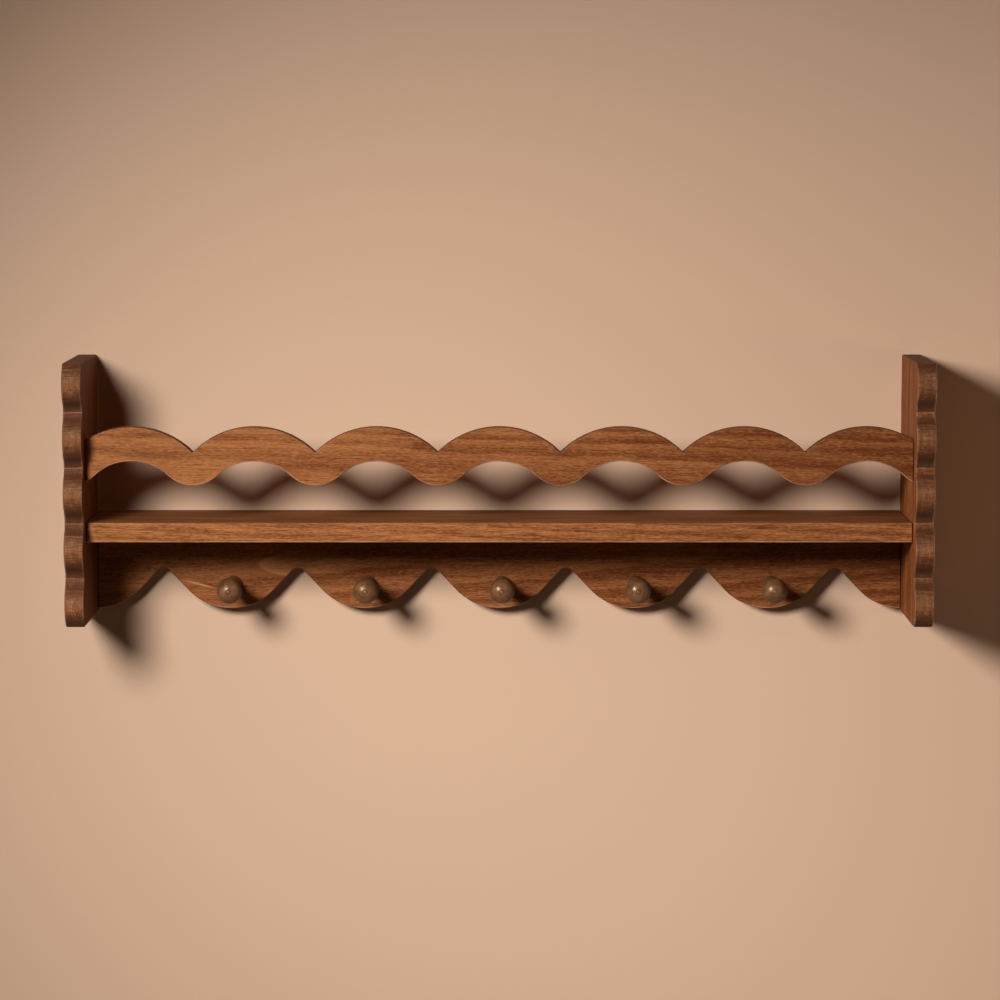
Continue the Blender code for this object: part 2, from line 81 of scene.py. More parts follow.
SIDES = ("left", "right")
ALONG_X = Vector((1.0, 0.0, 0.0))
TO_ROOM = Vector((0.0, -1.0, 0.0))
TO_WALL = Vector((0.0, 1.0, 0.0))
UP = Vector((0.0, 0.0, 1.0))
DOWN = Vector((0.0, 0.0, -1.0))
QUARTER_TURN = math.pi / 2
HALF_TURN = math.pi
FULL_TURN = 2 * math.pi
TINY = 1e-6                      # lengths below this count as nothing
ARRIS_ANGLE = math.radians(40)   # edges sharper than this are rounded over
SMOOTH_ANGLE = math.radians(35)  # edges sharper than this keep a crisp shade
FACES_WALL = 0.99                # Y of the normal above which a face lies flat to the wall
FACES_ROOM = -0.3                # Y of the normal below which a face is part of a front edge
# The edge marks drive the rubbing, the dust, and painted light and shade on the wood
EDGE_MARK_LAYER = "edge_marks"              # X on rounded edges, Y on wavy front edges, Z in their hollows
TURNED_LAYER = "turned"          # a peg's own place, with its axis along Y


# Colours, nodes and settings

def linear(hex_colour):
    """sRGB hex to the linear RGBA that a socket or a colour property takes."""
    channels = [int(hex_colour[i : i + 2], 16) / 255 for i in (1, 3, 5)]
    curved = [c / 12.92 if c <= 0.04045 else ((c + 0.055) / 1.055) ** 2.4 for c in channels]
    return (*curved, 1.0)


def add_node(tree, kind, inputs=(), operation=None, out=0, **settings):
    """One shader node with its settings, values and links. Gives one of its outputs.

    inputs are values, or the outputs that feed them, in the order of the node's sockets. A dict
    gives them by the sockets' identifiers or names.
    """
    node = tree.nodes.new("ShaderNode" + kind)
    if operation:
        node.operation = operation
    for name, value in settings.items():
        setattr(node, name, value)
    sockets = {socket.identifier: socket for socket in node.inputs}
    chosen = inputs if isinstance(inputs, dict) else dict(enumerate(inputs))
    for key, value in chosen.items():
        socket = sockets.get(key) or node.inputs[key]
        if isinstance(value, bpy.types.NodeSocket):
            tree.links.new(value, socket)
        else:
            socket.default_value = value
    return node.outputs[out] if node.outputs else None


def empty_tree(owner):
    """Clears the nodes of a material or a world. Gives add_node for its tree."""
    owner.use_nodes = True
    owner.node_tree.nodes.clear()
    return partial(add_node, owner.node_tree)


def new_material(name):
    """An empty material, and add_node for its tree."""
    material = bpy.data.materials.new(name)
    return material, empty_tree(material)


def metres(name, description, default):
    """A length that a user can change."""
    return FloatProperty(name=name, description=description, default=default, unit="LENGTH")


def degrees(name, description, default):
    """An angle that a user can change."""
    turn = math.radians(default)
    return FloatProperty(name=name, description=description, default=turn, subtype="ANGLE")


def spot(name, description, default):
    """A place that a user can change."""
    return FloatVectorProperty(
        name=name, description=description, default=default, subtype="TRANSLATION"
    )


def tint(name, description, default):
    """A colour that a user can change, from its sRGB hex."""
    return FloatVectorProperty(
        name=name, description=description, default=linear(default), subtype="COLOR", size=4
    )


class PlateRackBoards(PropertyGroup):
    """Edges of the boards"""

    panel_pitch: metres("Panel wave pitch", "Crest to crest along a panel's front edge", 0.0583)
    panel_rise: metres("Panel wave depth", "Crest to hollow of a panel's front edge", 0.0125)
    panel_hollow_radius: metres(
        "Panel hollow radius", "Radius at the bottom of each hollow", 0.012
    )
    plate_rail_pitch: metres(
        "Plate rail pitch", "One lobe of the plate rail to the next", 0.1292
    )
    plate_rail_lobe_rise: metres(
        "Plate rail lobe rise", "Sharp corner between two lobes to a lobe's crest", 0.0268
    )
    plate_rail_arch_rise: metres(
        "Plate rail arch rise", "Lowest dip to the top of an arch on the lower edge", 0.0258
    )
    plate_rail_dip_radius: metres(
        "Plate rail dip radius", "Radius of the dips on the lower edge", 0.037
    )
    peg_rail_pitch: metres("Peg rail pitch", "One lobe of the peg rail to the next", 0.1458)
    peg_rail_rise: metres("Peg rail notch rise", "Lowest edge to the top of a notch", 0.0443)
    peg_rail_notch_radius: metres(
        "Peg rail notch radius", "Radius at the top of each notch", 0.0085
    )
    peg_rail_flank: degrees(
        "Peg rail flank", "Slope of the straight part between a lobe and a notch", 47
    )
    panel_arris: metres("Panel arris", "Rounding of the end panels' edges", 0.0016)
    shelf_arris: metres("Shelf arris", "Rounding of the shelf's edges", 0.0014)
    plate_rail_arris: metres("Plate rail arris", "Rounding of the plate rail's edges", 0.0012)
    peg_rail_arris: metres("Peg rail arris", "Rounding of the peg rail's edges", 0.0012)


class PlateRackPegs(PropertyGroup):
    """Shape of a turned peg"""

    base_diameter: metres("Base diameter", "Where the peg meets the rail", 0.0172)
    neck_diameter: metres("Neck diameter", "Thinnest part of the peg", 0.0146)
    neck_set: metres("Neck set", "Rail face to the neck", 0.016)
    dome_length: metres("Dome length", "Widest part of the head to the tip", 0.0125)
    centre_mark: metres(
        "Centre mark", "Diameter of the ring that the lathe's centre left on the tip", 0.0048
    )


class PlateRackHangers(PropertyGroup):
    """Keyhole plates and their screws"""

    head_diameter: metres(
        "Keyhole diameter", "Round hole that a wall screw's head enters", 0.009
    )
    slot_width: metres("Slot width", "Narrow slot that holds the wall screw's shank", 0.0048)
    travel: metres("Travel", "Centre of the round hole to the centre of the slot's end", 0.0095)
    pocket_depth: metres("Pocket depth", "Panel's back edge to the floor of the pocket", 0.011)
    screw_inset: metres("Screw inset", "End of the plate to its screw", 0.005)
    screw_diameter: metres("Screw head diameter", "Countersunk head of a plate screw", 0.006)


class PlateRackFinish(PropertyGroup):
    """Colours of the wood and the steel"""

    stain_dark: tint("Dark stain", "Bands of wood that took up most stain", "#643316")
    stain_light: tint("Light stain", "Bands of wood that took up least stain", "#b47343")
    stain_streak: tint("Streaks", "Short dark streaks along the grain", "#3a1c0c")
    top_shade_colour: tint("Pooled stain", "Sides that look up, where it lay longest", "#46260f")
    # Painted shade: this colour darkens the sides that look up, such as the shelf's top and the rails'
    # top edges
    end_grain: tint("End grain", "Slopes cut across the fibres, where stain went deep", "#4a2d1d")
    # Dust over the front edges, and painted light on the upper half of each crest
    dusty_lit_crests: tint("Sawn edges", "Dusty crests of the end panels' front edges", "#977053")
    # Rubbed arrises, and painted highlight: the lower arrises and thin lines in the front edges'
    # hollows
    worn_and_highlit_edge: tint("Rubbed edges", "Arrises where the stain is rubbed thin", "#cb9a7a")
    sapwood: tint("Sapwood", "Pale marks on the peg rail", "#c98a58")
    peg_dark: tint("Peg, dark", "Dark rings of the turned pegs", "#51311b")
    peg_light: tint("Peg, light", "Light rings of the turned pegs", "#855b39")
    # Painted shade too: the same colour darkens each peg's head towards its rim
    peg_groove_and_rim_shade: tint("Peg grooves", "Stain in a peg's centre mark and round its rim", "#38210f")
    dowel: tint("Dowel", "Bare wood of the hidden dowels", "#c9a27a")
    steel: tint("Steel", "Zinc plating of the keyhole plates and screws", "#b4b6b6")


class PlateRackStudio(PropertyGroup):
    """Camera, lamps, wall and floor"""

    camera_place: spot("Camera place", "Where the camera stands", (0.0008, -3.606, 0.4979))
    camera_pitch: degrees("Camera pitch", "How far the camera looks down", 6.47)
    camera_lens: FloatProperty(
        name="Focal length", description="Lens on a 36 mm sensor", default=119.9, unit="CAMERA"
    )
    key_place: spot("Key lamp place", "Soft lamp at the upper left", (-0.98, -1.6, 0.74))
    key_aim: spot("Key lamp aim", "Middle of the pool of light", (0.75, 0.0, -0.8))
    key_power: FloatProperty(
        name="Key lamp power", description="Power of the soft lamp", default=18.3, unit="POWER"
    )
    key_size: metres("Key lamp size", "Width of the soft lamp", 0.6)
    wall: tint("Wall", "Plain wall behind the rack", "#d1ad91")
    wall_size: metres("Wall size", "Width and height of the wall", 1.44)
    floor: tint("Floor", "Plain pale floor", "#e6ddd2")
    floor_size: metres("Floor size", "Width and depth of the floor", 60.0)
    floor_height: metres("Floor height", "Height of the floor in the rack's frame", -1.6)


class PlateRackSettings(PropertyGroup):
    """All settings of the plate rack"""

    boards: PointerProperty(name="Boards", description="Edges of the boards", type=PlateRackBoards)
    pegs: PointerProperty(name="Pegs", description="Shape of a turned peg", type=PlateRackPegs)
    hangers: PointerProperty(name="Hangers", description="Plates and screws", type=PlateRackHangers)
    finish: PointerProperty(name="Finish", description="Wood and steel colours", type=PlateRackFinish)
    studio: PointerProperty(name="Studio", description="Camera, lamps and stage", type=PlateRackStudio)


# Finishes. A ramp is the range of what a node reads, and then what it gives at either end

SMOOTH = {"interpolation_type": "SMOOTHSTEP"}
COLOUR_MIX = {"data_type": "RGBA", "out": 2}
WITHOUT_Y = (1.0, 0.0, 1.0)
NOISE_MEAN = 0.5


def stretched_noise(add, place, scale, detail, out=0):
    """Noise with a scale of its own along each axis."""
    drawn = add("VectorMath", [place, scale], "MULTIPLY")
    return add("TexNoise", {"Vector": drawn, "Scale": 1.0, "Detail": detail}, out=out)


def distance(add, place, axes):
    """Distance from the origin, measured along the axes that are 1."""
    flat = add("VectorMath", [place, axes], "MULTIPLY")
    return add("VectorMath", [flat], "LENGTH", out="Value")


# Each board's place in its log and its stain, as stained_pine says
Board = namedtuple("Board", "heart turn grain tone fade figure band rub marks", defaults=(None,))
BOARDS = {
    # The left panel's tone, lower than the right one's, is painted shade on its inner face, which
    # looks away from the key lamp
    "left_panel": Board(
        heart=(-0.515, -0.05, 0.1), turn=(0.02, 0.015 - QUARTER_TURN, 0.03), grain=UP,
        tone=-0.03, fade=0.0, figure=1.1, band=0.028, rub=0.3,
    ),
    "right_panel": Board(
        heart=(0.535, -0.085, 0.1), turn=(0.03, 0.02 - QUARTER_TURN, 0.02), grain=UP,
        tone=0.06, fade=0.0, figure=1.1, band=0.028, rub=0.3,
    ),
    "shelf": Board(
        heart=(0.0, -0.02, -0.005), turn=(0.01, 0.012, 0.03), grain=ALONG_X,
        tone=0.36, fade=-0.17, figure=1.3, band=0.014, rub=0.9,
    ),
    "plate_rail": Board(
        heart=(0.0, -0.045, 0.125), turn=(0.02, 0.02, 0.01), grain=ALONG_X,
        tone=0.28, fade=-0.46, figure=0.8, band=0.014, rub=0.9,
    ),
    "peg_rail": Board(
        heart=(0.0, 0.055, 0.03), turn=(0.02, -0.02, 0.02), grain=ALONG_X,
        tone=0.23, fade=-0.3, figure=0.9, band=0.014, rub=1.0,
        marks=((-0.2595, 0.0, 0.0232), (-0.3255, 0.0, 0.0020)),
    ),
}

FLAME_SIZE = (0.034, 1.0, 0.013)        # length and half height of the pale growth ring
FLAME_SHARE = 0.45
FLAME_TIP = (-0.12, 0.0, 0.0, 1.0)      # ramps over its depth, from its edge inwards
FLAME_HEART = (0.02, 0.5, 1.0, 0.25)
FLAME_TAIL = (0.5, 1.6, 1.0, 0.0)       # ramp over its length
STREAK_SIZE = (0.021, 1.0, 0.0016)      # half length and half height of the pale streak
STREAK_TURN = (0.0, 0.26, 0.0)
STREAK_FADE = (0.3, 1.0, 0.75, 0.0)     # ramp from its middle to its edge


def pale_marks(add, place, tip, streak):
    """Two marks of pale sapwood on a board's face: a growth ring that ends in a tip, and a streak.

    tip and streak are their places. The ring is drawn as a flame that points left, 26 mm high
    where it is 34 mm long, and the streak is 42 mm long and falls to the right.
    """
    flame = {"Vector": place, "Location": tip, "Scale": FLAME_SIZE}
    flame = add("Mapping", flame, vector_type="TEXTURE")
    flame = add("SeparateXYZ", [flame]).node.outputs
    bow = add("Math", [flame["Z"], flame["Z"]], "MULTIPLY")
    depth = add("Math", [flame["X"], bow], "SUBTRACT")
    share = FLAME_SHARE
    for value, ramp in ((depth, FLAME_TIP), (depth, FLAME_HEART), (flame["X"], FLAME_TAIL)):
        part = add("MapRange", [value, *ramp])
        share = add("Math", [part, share], "MULTIPLY")
    band = add("Mapping", [place, streak, STREAK_TURN, STREAK_SIZE], vector_type="TEXTURE")
    band = add("MapRange", [distance(add, band, WITHOUT_Y), *STREAK_FADE])
    return add("Math", [share, band], "MAXIMUM")


SWAY_SCALE = (7.0, 26.0, 26.0)          # fibres waver over about 140 mm along and 40 mm across
SWAY_SIZE = (0.0, 0.005, 0.005)         # by about 2 mm
ACROSS_LOG = (0.0, 1.0, 1.0)
RING_WIDTH = 0.007                      # one year's growth
EARLY_WOOD = (0.0, 0.75, 0.0, 1.0)      # ramps over a year, which ends in a dark line
LATE_WOOD = (0.85, 1.0, 1.0, 0.0)
RING_SHARE = 0.25
SAWN_SCALES = ((20.0, 20.0, 130.0), (70.0, 70.0, 800.0))  # bands of 8 mm, scratches of 1.2 mm
CREST_LIGHT = (0.3, 0.45, 0.18, 0.0)     # ramp down a hollow: painted light on the crests
EDGE_DUST = 0.11                        # dust all over a front edge
CREST_LIGHT_CONTRAST = 1.6
UPPER_SIDES = (-0.3, 0.1)               # ramps over how far a surface looks up
UNDER_CRESTS = (0.03, -0.03)
LOWER_SIDES = (0.0, -0.4)
UPPER_RUB = 0.08                        # arrises that look up: rubbing, no painted highlight
PATCH_SCALE = 60.0                      # rubbed patches of about 17 mm
PATCH_RUB = (0.4, 0.65, 0.3, 0.9)
LEDGE_LEVEL = (0.2, 0.06)               # how far the hollow's ledge looks up, give or take
LEDGE_DEPTH = (0.57, 0.03)              # how far down a hollow the crest's ledge lies
LEDGE_WAVER = 0.3
LEDGE_SHARE = 0.24
PATTERN_MEAN = 1.05                     # half of the shares of bands, fibres and rings
FIGURE_MEAN = 0.75                      # half of the shares of lines and dashes
BAND_STRETCH = 9                        # length of a soft band in its widths
DEEP_STAIN = (0.0, -0.7, 0.0, 0.8)      # ramp past the darkest stain
STREAKS = (0.6, 0.75, 0.0, 0.4)
STREAK_DEPTH = -0.8
END_GRAIN = (0.05, 0.65, 0.0, 0.65)     # ramp over how far a cut crosses the fibres
UNDER_SHADE_SHARE = 0.5
SAWN_THIRST = -1.4
# ramp over how far a side looks up, to the share of its painted shade
TOP_SHADE = (0.3, 0.8, 0.0, 0.55)
UNEVEN = (-2.0, 2.0)                    # makes a pattern round 0.5 a falling factor round 1
SATIN_OIL = (0.3, 0.7, 0.5, 0.68)       # roughness from the hard fibres to the soft


def stained_pine(board_name, finish):
    """Pine, planed and sanded, wiped with a walnut stain and a satin oil.

    The eye sees long soft bands where the stain took more or less, fine grain lines, short dark
    streaks, darker end grain on slopes cut across the fibres, and rubbed arrises. Painted shade
    darkens the sides that look up, the hollows of the front edges, the slopes under their crests,
    and the shelf and rails towards their right ends, away from the key lamp. Painted light pales
    the upper half of each crest and draws thin pale lines in the hollows, and the lower arrises get
    a painted highlight. A board's heart is a point on its log's heart line, and turn is how the
    log lies, its length along its own X. tone is its mean stain from dark to light,
    fade is the painted shade in a metre along the grain, and figure is how strongly
    the grain lines show. band is the width of the soft bands, rub is the rubbing and
    painted highlight of its lower arrises, and marks are the places of two pale marks.
    """
    board = BOARDS[board_name]
    material, add = new_material(f"walnut_stained_pine_{board_name}")
    place = add("TexCoord", out="Object")
    facing = add("TexCoord", out="Normal")
    level = add("SeparateXYZ", [facing], out="Z")
    log = add("Mapping", [place, board.heart, board.turn], vector_type="TEXTURE")
    waver = stretched_noise(add, log, SWAY_SCALE, 2.0, out="Color")
    sway = add("VectorMath", [waver, SWAY_SIZE], "MULTIPLY")
    flow = add("VectorMath", [log, sway], "ADD")

    # Growth rings round the log's heart
    years = add("Math", [distance(add, flow, ACROSS_LOG), RING_WIDTH], "DIVIDE")
    year = add("Math", [years], "FRACT")
    early = add("MapRange", [year, *EARLY_WOOD], **SMOOTH)
    late = add("MapRange", [year, *LATE_WOOD], **SMOOTH)
    ring = add("Math", [early, late], "MULTIPLY")

    # Front edges were sawn across the grain, which left bands and scratches
    edge_marks = add("Attribute", out="Vector", attribute_type="GEOMETRY", attribute_name=EDGE_MARK_LAYER)
    edge_marks = add("SeparateXYZ", [edge_marks]).node.outputs
    sawn = []
    for scale in SAWN_SCALES:
        cut = add("Math", [stretched_noise(add, place, scale, 2.0), NOISE_MEAN], "SUBTRACT")
        sawn.append(add("Math", [cut, edge_marks["Y"]], "MULTIPLY"))
    bands, scratches = sawn

    # Painted light pales the upper half of each crest, which looks up, and dust greys the whole front
    # edge
    crest = add("MapRange", [edge_marks["Z"], *CREST_LIGHT], **SMOOTH)
    upper = add("MapRange", [level, *UPPER_SIDES])
    patchy = add("Math", [bands, CREST_LIGHT_CONTRAST, edge_marks["Y"]], "MULTIPLY_ADD", use_clamp=True)
    dust_and_crest_light = add("Math", [crest, upper], "MULTIPLY")
    dust_and_crest_light = add("Math", [dust_and_crest_light, patchy], "MULTIPLY")
    dust_and_crest_light = add("Math", [edge_marks["Y"], EDGE_DUST, dust_and_crest_light], "MULTIPLY_ADD")

    # Painted shade is darkest under a crest, as far as a thin painted highlight at the bottom of the
    # hollow. A second painted highlight lies where the next crest starts
    under = add("MapRange", [level, *UNDER_CRESTS])
    under = add("Math", [under, edge_marks["Z"]], "MULTIPLY")
    patch = add("TexNoise", {"Vector": place, "Scale": PATCH_SCALE, "Detail": 3.0})
    rub = add("MapRange", [patch, *PATCH_RUB])
    ledge_highlights = []
    for value, line, where in ((level, LEDGE_LEVEL, edge_marks["Z"]), (edge_marks["Z"], LEDGE_DEPTH, upper)):
        ledge_highlight = add("Math", [patch, LEDGE_WAVER, value], "MULTIPLY_ADD")
        ledge_highlight = add("Math", [ledge_highlight, *line], "COMPARE")
        ledge_highlights.append(add("Math", [ledge_highlight, where], "MULTIPLY"))
    ledge_highlight = add("Math", ledge_highlights, "MAXIMUM")
    for share in (rub, LEDGE_SHARE):
        ledge_highlight = add("Math", [ledge_highlight, share], "MULTIPLY")

    # Stain follows the grain and the saw marks: each adds its share to the board's own tone. The
    # falloff along the board, the depth down a hollow and the slopes under the crests add painted
    # shade
    along = add("SeparateXYZ", [log], out="X")
    tone = board.tone - PATTERN_MEAN - FIGURE_MEAN * board.figure
    shade = add("Math", [along, board.fade, tone], "MULTIPLY_ADD")
    for mark, share in ((edge_marks["Z"], -0.2), (under, -0.45), (bands, 0.9), (scratches, 1.0)):
        shade = add("Math", [mark, share, shade], "MULTIPLY_ADD")
    patterns = {}
    for what, length, width, detail, share in (
        ("band", BAND_STRETCH * board.band, board.band, 3.0, 0.6),
        ("line", 0.09, 0.0016, 2.0, 0.7 * board.figure),
        ("dash", 0.02, 0.0011, 2.0, 0.8 * board.figure),
        ("fibre", 0.005, 0.0008, 2.0, 1.25),
        ("streak", 0.014, 0.0012, 1.0, 0.0),
    ):
        scale = (1 / length, 1 / width, 1 / width)
        patterns[what] = stretched_noise(add, flow, scale, detail)
        if share:
            shade = add("Math", [patterns[what], share, shade], "MULTIPLY_ADD")
    shade = add("Math", [ring, RING_SHARE, shade], "MULTIPLY_ADD")
    deep = add("MapRange", [shade, *DEEP_STAIN])
    streak = add("MapRange", [patterns["streak"], *STREAKS], **SMOOTH)

    # End grain drinks more stain. Under the crests it also carries painted shade
    cut_across = add("VectorMath", [facing, board.grain], "DOT_PRODUCT", out="Value")
    cut_across = add("Math", [cut_across], "ABSOLUTE")
    thirst = add("MapRange", [cut_across, *END_GRAIN], **SMOOTH)
    thirst = add("Math", [under, UNDER_SHADE_SHARE, thirst], "MULTIPLY_ADD")
    thirst = add("Math", [scratches, SAWN_THIRST, thirst], "MULTIPLY_ADD", use_clamp=True)
    pores = add("Math", [patterns["fibre"], *UNEVEN], "MULTIPLY_ADD")
    thirst = add("Math", [thirst, pores], "MULTIPLY", use_clamp=True)
    # Sides that look up get painted shade, and the lower arrises get rubbing and a painted highlight
    painted_top_shade = add("MapRange", [level, *TOP_SHADE], **SMOOTH)
    uneven = add("Math", [patterns["band"], *UNEVEN], "MULTIPLY_ADD")
    painted_top_shade = add("Math", [painted_top_shade, uneven], "MULTIPLY", use_clamp=True)
    below = add("MapRange", [level, *LOWER_SIDES, UPPER_RUB, board.rub])
    rub = add("Math", [rub, below], "MULTIPLY")
    rubbed = add("Math", [edge_marks["X"], rub], "MULTIPLY")

    layers = [
        (shade, finish.stain_light),
        (deep, finish.stain_streak),
        (dust_and_crest_light, finish.dusty_lit_crests),
        (thirst, finish.end_grain),
        (ledge_highlight, finish.worn_and_highlit_edge),
        (painted_top_shade, finish.top_shade_colour),
        (streak, finish.stain_streak),
        (rubbed, finish.worn_and_highlit_edge),
    ]
    if board.marks:
        swayed = add("VectorMath", [place, sway], "ADD")
        layers.append((pale_marks(add, swayed, *board.marks), finish.sapwood))
    colour = finish.stain_dark
    for share, over in layers:
        mix = {"Factor_Float": share, "A_Color": colour, "B_Color": over}
        colour = add("Mix", mix, **COLOUR_MIX)
    height = add("Math", [streak, STREAK_DEPTH, patterns["fibre"]], "MULTIPLY_ADD")
    surface = {
        "Base Color": colour,
        "Roughness": add("MapRange", [patterns["fibre"], *SATIN_OIL]),
        "IOR": 1.5,
        "Specular IOR Level": 0.06,
        "Normal": add("Bump", {"Strength": 0.35, "Distance": 0.0003, "Height": height}),
    }
    add("OutputMaterial", [add("BsdfPrincipled", surface)])
    return material


TOOL_RING = 0.002                       # drawn as coarse as the render can show
DRIFT_SCALE = 110.0                     # cloudy stain, in patches of about 9 mm
RING_WAVER = 1.6
RING_TONE = 0.3
PEG_STAIN = (0.4, 0.95)                 # ramp from dark to light
MARK_HALF_WIDTH = 0.0006
MARK_SHARE = 0.6
RIM_RAMP = (0.008, 0.0135, 0.0, 0.5)   # ramp over the head's radius: painted shade, thinner wax
PEG_WAX = (0.3, 0.7, 0.28, 0.36)        # roughness over the drift
RIM_DULLING = 0.7


def waxed_peg_wood(pegs, finish):
    """Close-grained hardwood, turned, stained brown and waxed.

    The eye sees faint rings round the axis left by the lathe, a dark ring where stain lies in the
    centre mark, a grey-brown ground that drifts from peg to peg, painted shade that darkens the
    head towards its rim, and a soft spot of wax gloss.
    """
    material, add = new_material("turned_hardwood_stained_and_waxed")
    place = add("TexCoord", out="Object")
    own = add("Attribute", out="Vector", attribute_type="GEOMETRY", attribute_name=TURNED_LAYER)
    radius = distance(add, own, WITHOUT_Y)
    turns = add("Math", [radius, TOOL_RING], "DIVIDE")
    drift = add("TexNoise", {"Vector": place, "Scale": DRIFT_SCALE, "Detail": 3.0})
    turns = add("Math", [drift, RING_WAVER, turns], "MULTIPLY_ADD")
    ring = add("Math", [turns], "PINGPONG")
    tone = add("Math", [ring, RING_TONE, drift], "MULTIPLY_ADD")
    shade = add("MapRange", [tone, *PEG_STAIN])
    # Stain lies in the groove of the centre mark, and painted shade darkens the head towards its rim
    mark = add("Math", [radius, pegs.centre_mark / 2, MARK_HALF_WIDTH], "COMPARE")
    groove = add("Math", [mark, MARK_SHARE], "MULTIPLY")
    rim = add("MapRange", [radius, *RIM_RAMP], **SMOOTH)
    stained = add("Math", [groove, rim], "MAXIMUM")
    colour = finish.peg_dark
    for share, over in ((shade, finish.peg_light), (stained, finish.peg_groove_and_rim_shade)):
        mix = {"Factor_Float": share, "A_Color": colour, "B_Color": over}
        colour = add("Mix", mix, **COLOUR_MIX)
    # Wax is thinner towards the rim, which dulls it
    roughness = add("MapRange", [drift, *PEG_WAX])
    roughness = add("Math", [rim, RIM_DULLING, roughness], "MULTIPLY_ADD")
    surface = {
        "Base Color": colour,
        "Roughness": roughness,
        "IOR": 1.5,
        "Specular IOR Level": 0.42,
        "Specular Tint": linear("#ffdcbc"),
        "Normal": add("Bump", {"Strength": 0.25, "Distance": 0.0002, "Height": tone}),
    }
    add("OutputMaterial", [add("BsdfPrincipled", surface)])
    return material


FLECK_SCALE = (330.0, 1600.0, 1600.0)   # flecks 3 mm long and 0.6 mm wide
FLECKS = (0.5, 0.75, 0.0, 0.5)


def bare_beech(finish):
    """Beech dowel rod, planed round and left bare: pale, with short darker flecks."""
    material, add = new_material("bare_beech_rod")
    place = add("TexCoord", out="Object")
    fleck = stretched_noise(add, place, FLECK_SCALE, 2.0)
    share = add("MapRange", [fleck, *FLECKS])
    mix = {"Factor_Float": share, "A_Color": finish.dowel, "B_Color": finish.stain_light}
    surface = {
        "Base Color": add("Mix", mix, **COLOUR_MIX),
        "Roughness": 0.6,
        "Normal": add("Bump", {"Strength": 0.3, "Distance": 0.0001, "Height": fleck}),
    }
    add("OutputMaterial", [add("BsdfPrincipled", surface)])
    return material


CLOUD_SCALE = 330.0                     # clouds of 3 mm
ROLLED_SCALE = (2500.0, 2500.0, 120.0)  # rolling lines of 0.4 mm along the strip
ZINC_GLOSS = (0.3, 0.7, 0.26, 0.42)     # roughness over the clouds


def zinc_plated_steel(finish):
    """Stamped steel with bright zinc plating: cool grey with a fine cloudy spangle."""
    material, add = new_material("zinc_plated_stamped_steel")
    place = add("TexCoord", out="Object")
    cloud = add("TexNoise", {"Vector": place, "Scale": CLOUD_SCALE, "Detail": 3.0})
    rolled = stretched_noise(add, place, ROLLED_SCALE, 1.0)
    mix = {"Factor_Float": cloud, "A_Color": finish.steel, "B_Color": linear("#8d9091")}
    surface = {
        "Base Color": add("Mix", mix, **COLOUR_MIX),
        "Metallic": 1.0,
        "Roughness": add("MapRange", [cloud, *ZINC_GLOSS]),
        "Normal": add("Bump", {"Strength": 0.2, "Distance": 0.00005, "Height": rolled}),
    }
    add("OutputMaterial", [add("BsdfPrincipled", surface)])
    return material


def in_view(add):
    """1 for a ray from the camera, or from gloss or glass that mirrors the ground behind."""
    path = add("LightPath").node.outputs
    seen = path["Is Camera Ray"]
    for kind in ("Is Glossy Ray", "Is Transmission Ray"):
        seen = add("Math", [seen, path[kind]], "MAXIMUM")
    return seen


# A ray that starts nearer to the wall than this passes it, so that light reaches the hangers
WALL_REACH = 0.0012


def studio_paint(name, colour, glow):
    """Matt paint on a wall or floor that shows only its room side.

    From behind it lets the view pass, and so do rays that start within about a millimetre of it,
    which keeps the rack's back visible and lit. glow is the share of its colour that it shows
    where no lamp reaches.
    """
    material, add = new_material(name)
    behind = add("NewGeometry", out="Backfacing")
    reach = add("LightPath", out="Ray Length")
    touching = add("Math", [reach, WALL_REACH], "LESS_THAN")
    open_side = add("Math", [behind, touching], "MAXIMUM")
    paint = add("BsdfDiffuse", [colour])
    if glow:
        pale = add("Emission", [colour])
        share = add("Math", [in_view(add), glow], "MULTIPLY")
        paint = add("MixShader", [share, paint, pale])
    clear = add("BsdfTransparent")
    add("OutputMaterial", [add("MixShader", [open_side, paint, clear])])
    return material


# Drawing and shaping

Stroke = namedtuple("Stroke", "start end centre height radius sense steps")


def line_to(bm, vert, place):
    """Rules a straight edge from a vertex to a place. Gives the new vertex."""
    end = bmesh.ops.extrude_vert_indiv(bm, verts=[vert])["verts"][0]
    bmesh.ops.translate(bm, verts=[end], vec=place - end.co)
    return end


def swing(bm, vert, centre, axis, angle, steps):
    """Swings a vertex about a centre like a pair of compasses. Gives the arc's last vertex."""
    drawn = bmesh.ops.spin(bm, geom=[vert], cent=centre, axis=axis, angle=angle, steps=steps)
    return drawn["geom_last"][0]


def wave(pitch, rise, hollow_radius, flank, steps):
    """Strokes of one crest and one hollow, tangent, from the start of the crest.

    Places run along the edge from the crest, and heights out from the crest's line. steps are
    the segments in the crest, each flank and the hollow.
    """
    half = pitch / 2
    both_radii = (half * math.tan(flank) - rise) / (1 / math.cos(flank) - 1)
    crest_radius = both_radii - hollow_radius
    crest = crest_radius * math.sin(flank)
    hollow = hollow_radius * math.sin(flank)
    crest_drop = crest_radius * (1 - math.cos(flank))
    hollow_lift = hollow_radius * (1 - math.cos(flank)) - rise
    return [
        Stroke(-crest, crest, 0.0, -crest_radius, crest_radius, 1, steps[0]),
        Stroke(crest, half - hollow, 0.0, hollow_lift, 0.0, 0, steps[1]),
        Stroke(half - hollow, half + hollow, half, hollow_radius - rise, hollow_radius, -1, steps[2]),
        Stroke(half + hollow, pitch - crest, 0.0, -crest_drop, 0.0, 0, steps[1]),
    ]


def soft_flank(pitch, rise):
    """Slope at which a crest and a hollow meet with no straight part between them."""
    return 2 * math.atan(2 * rise / pitch)


def lobes(pitch, rise, steps):
    """One round lobe that meets the next in a sharp corner."""
    half = pitch / 2
    radius = (half**2 + rise**2) / (2 * rise)
    return [Stroke(-half, half, 0.0, -radius, radius, 1, steps)]


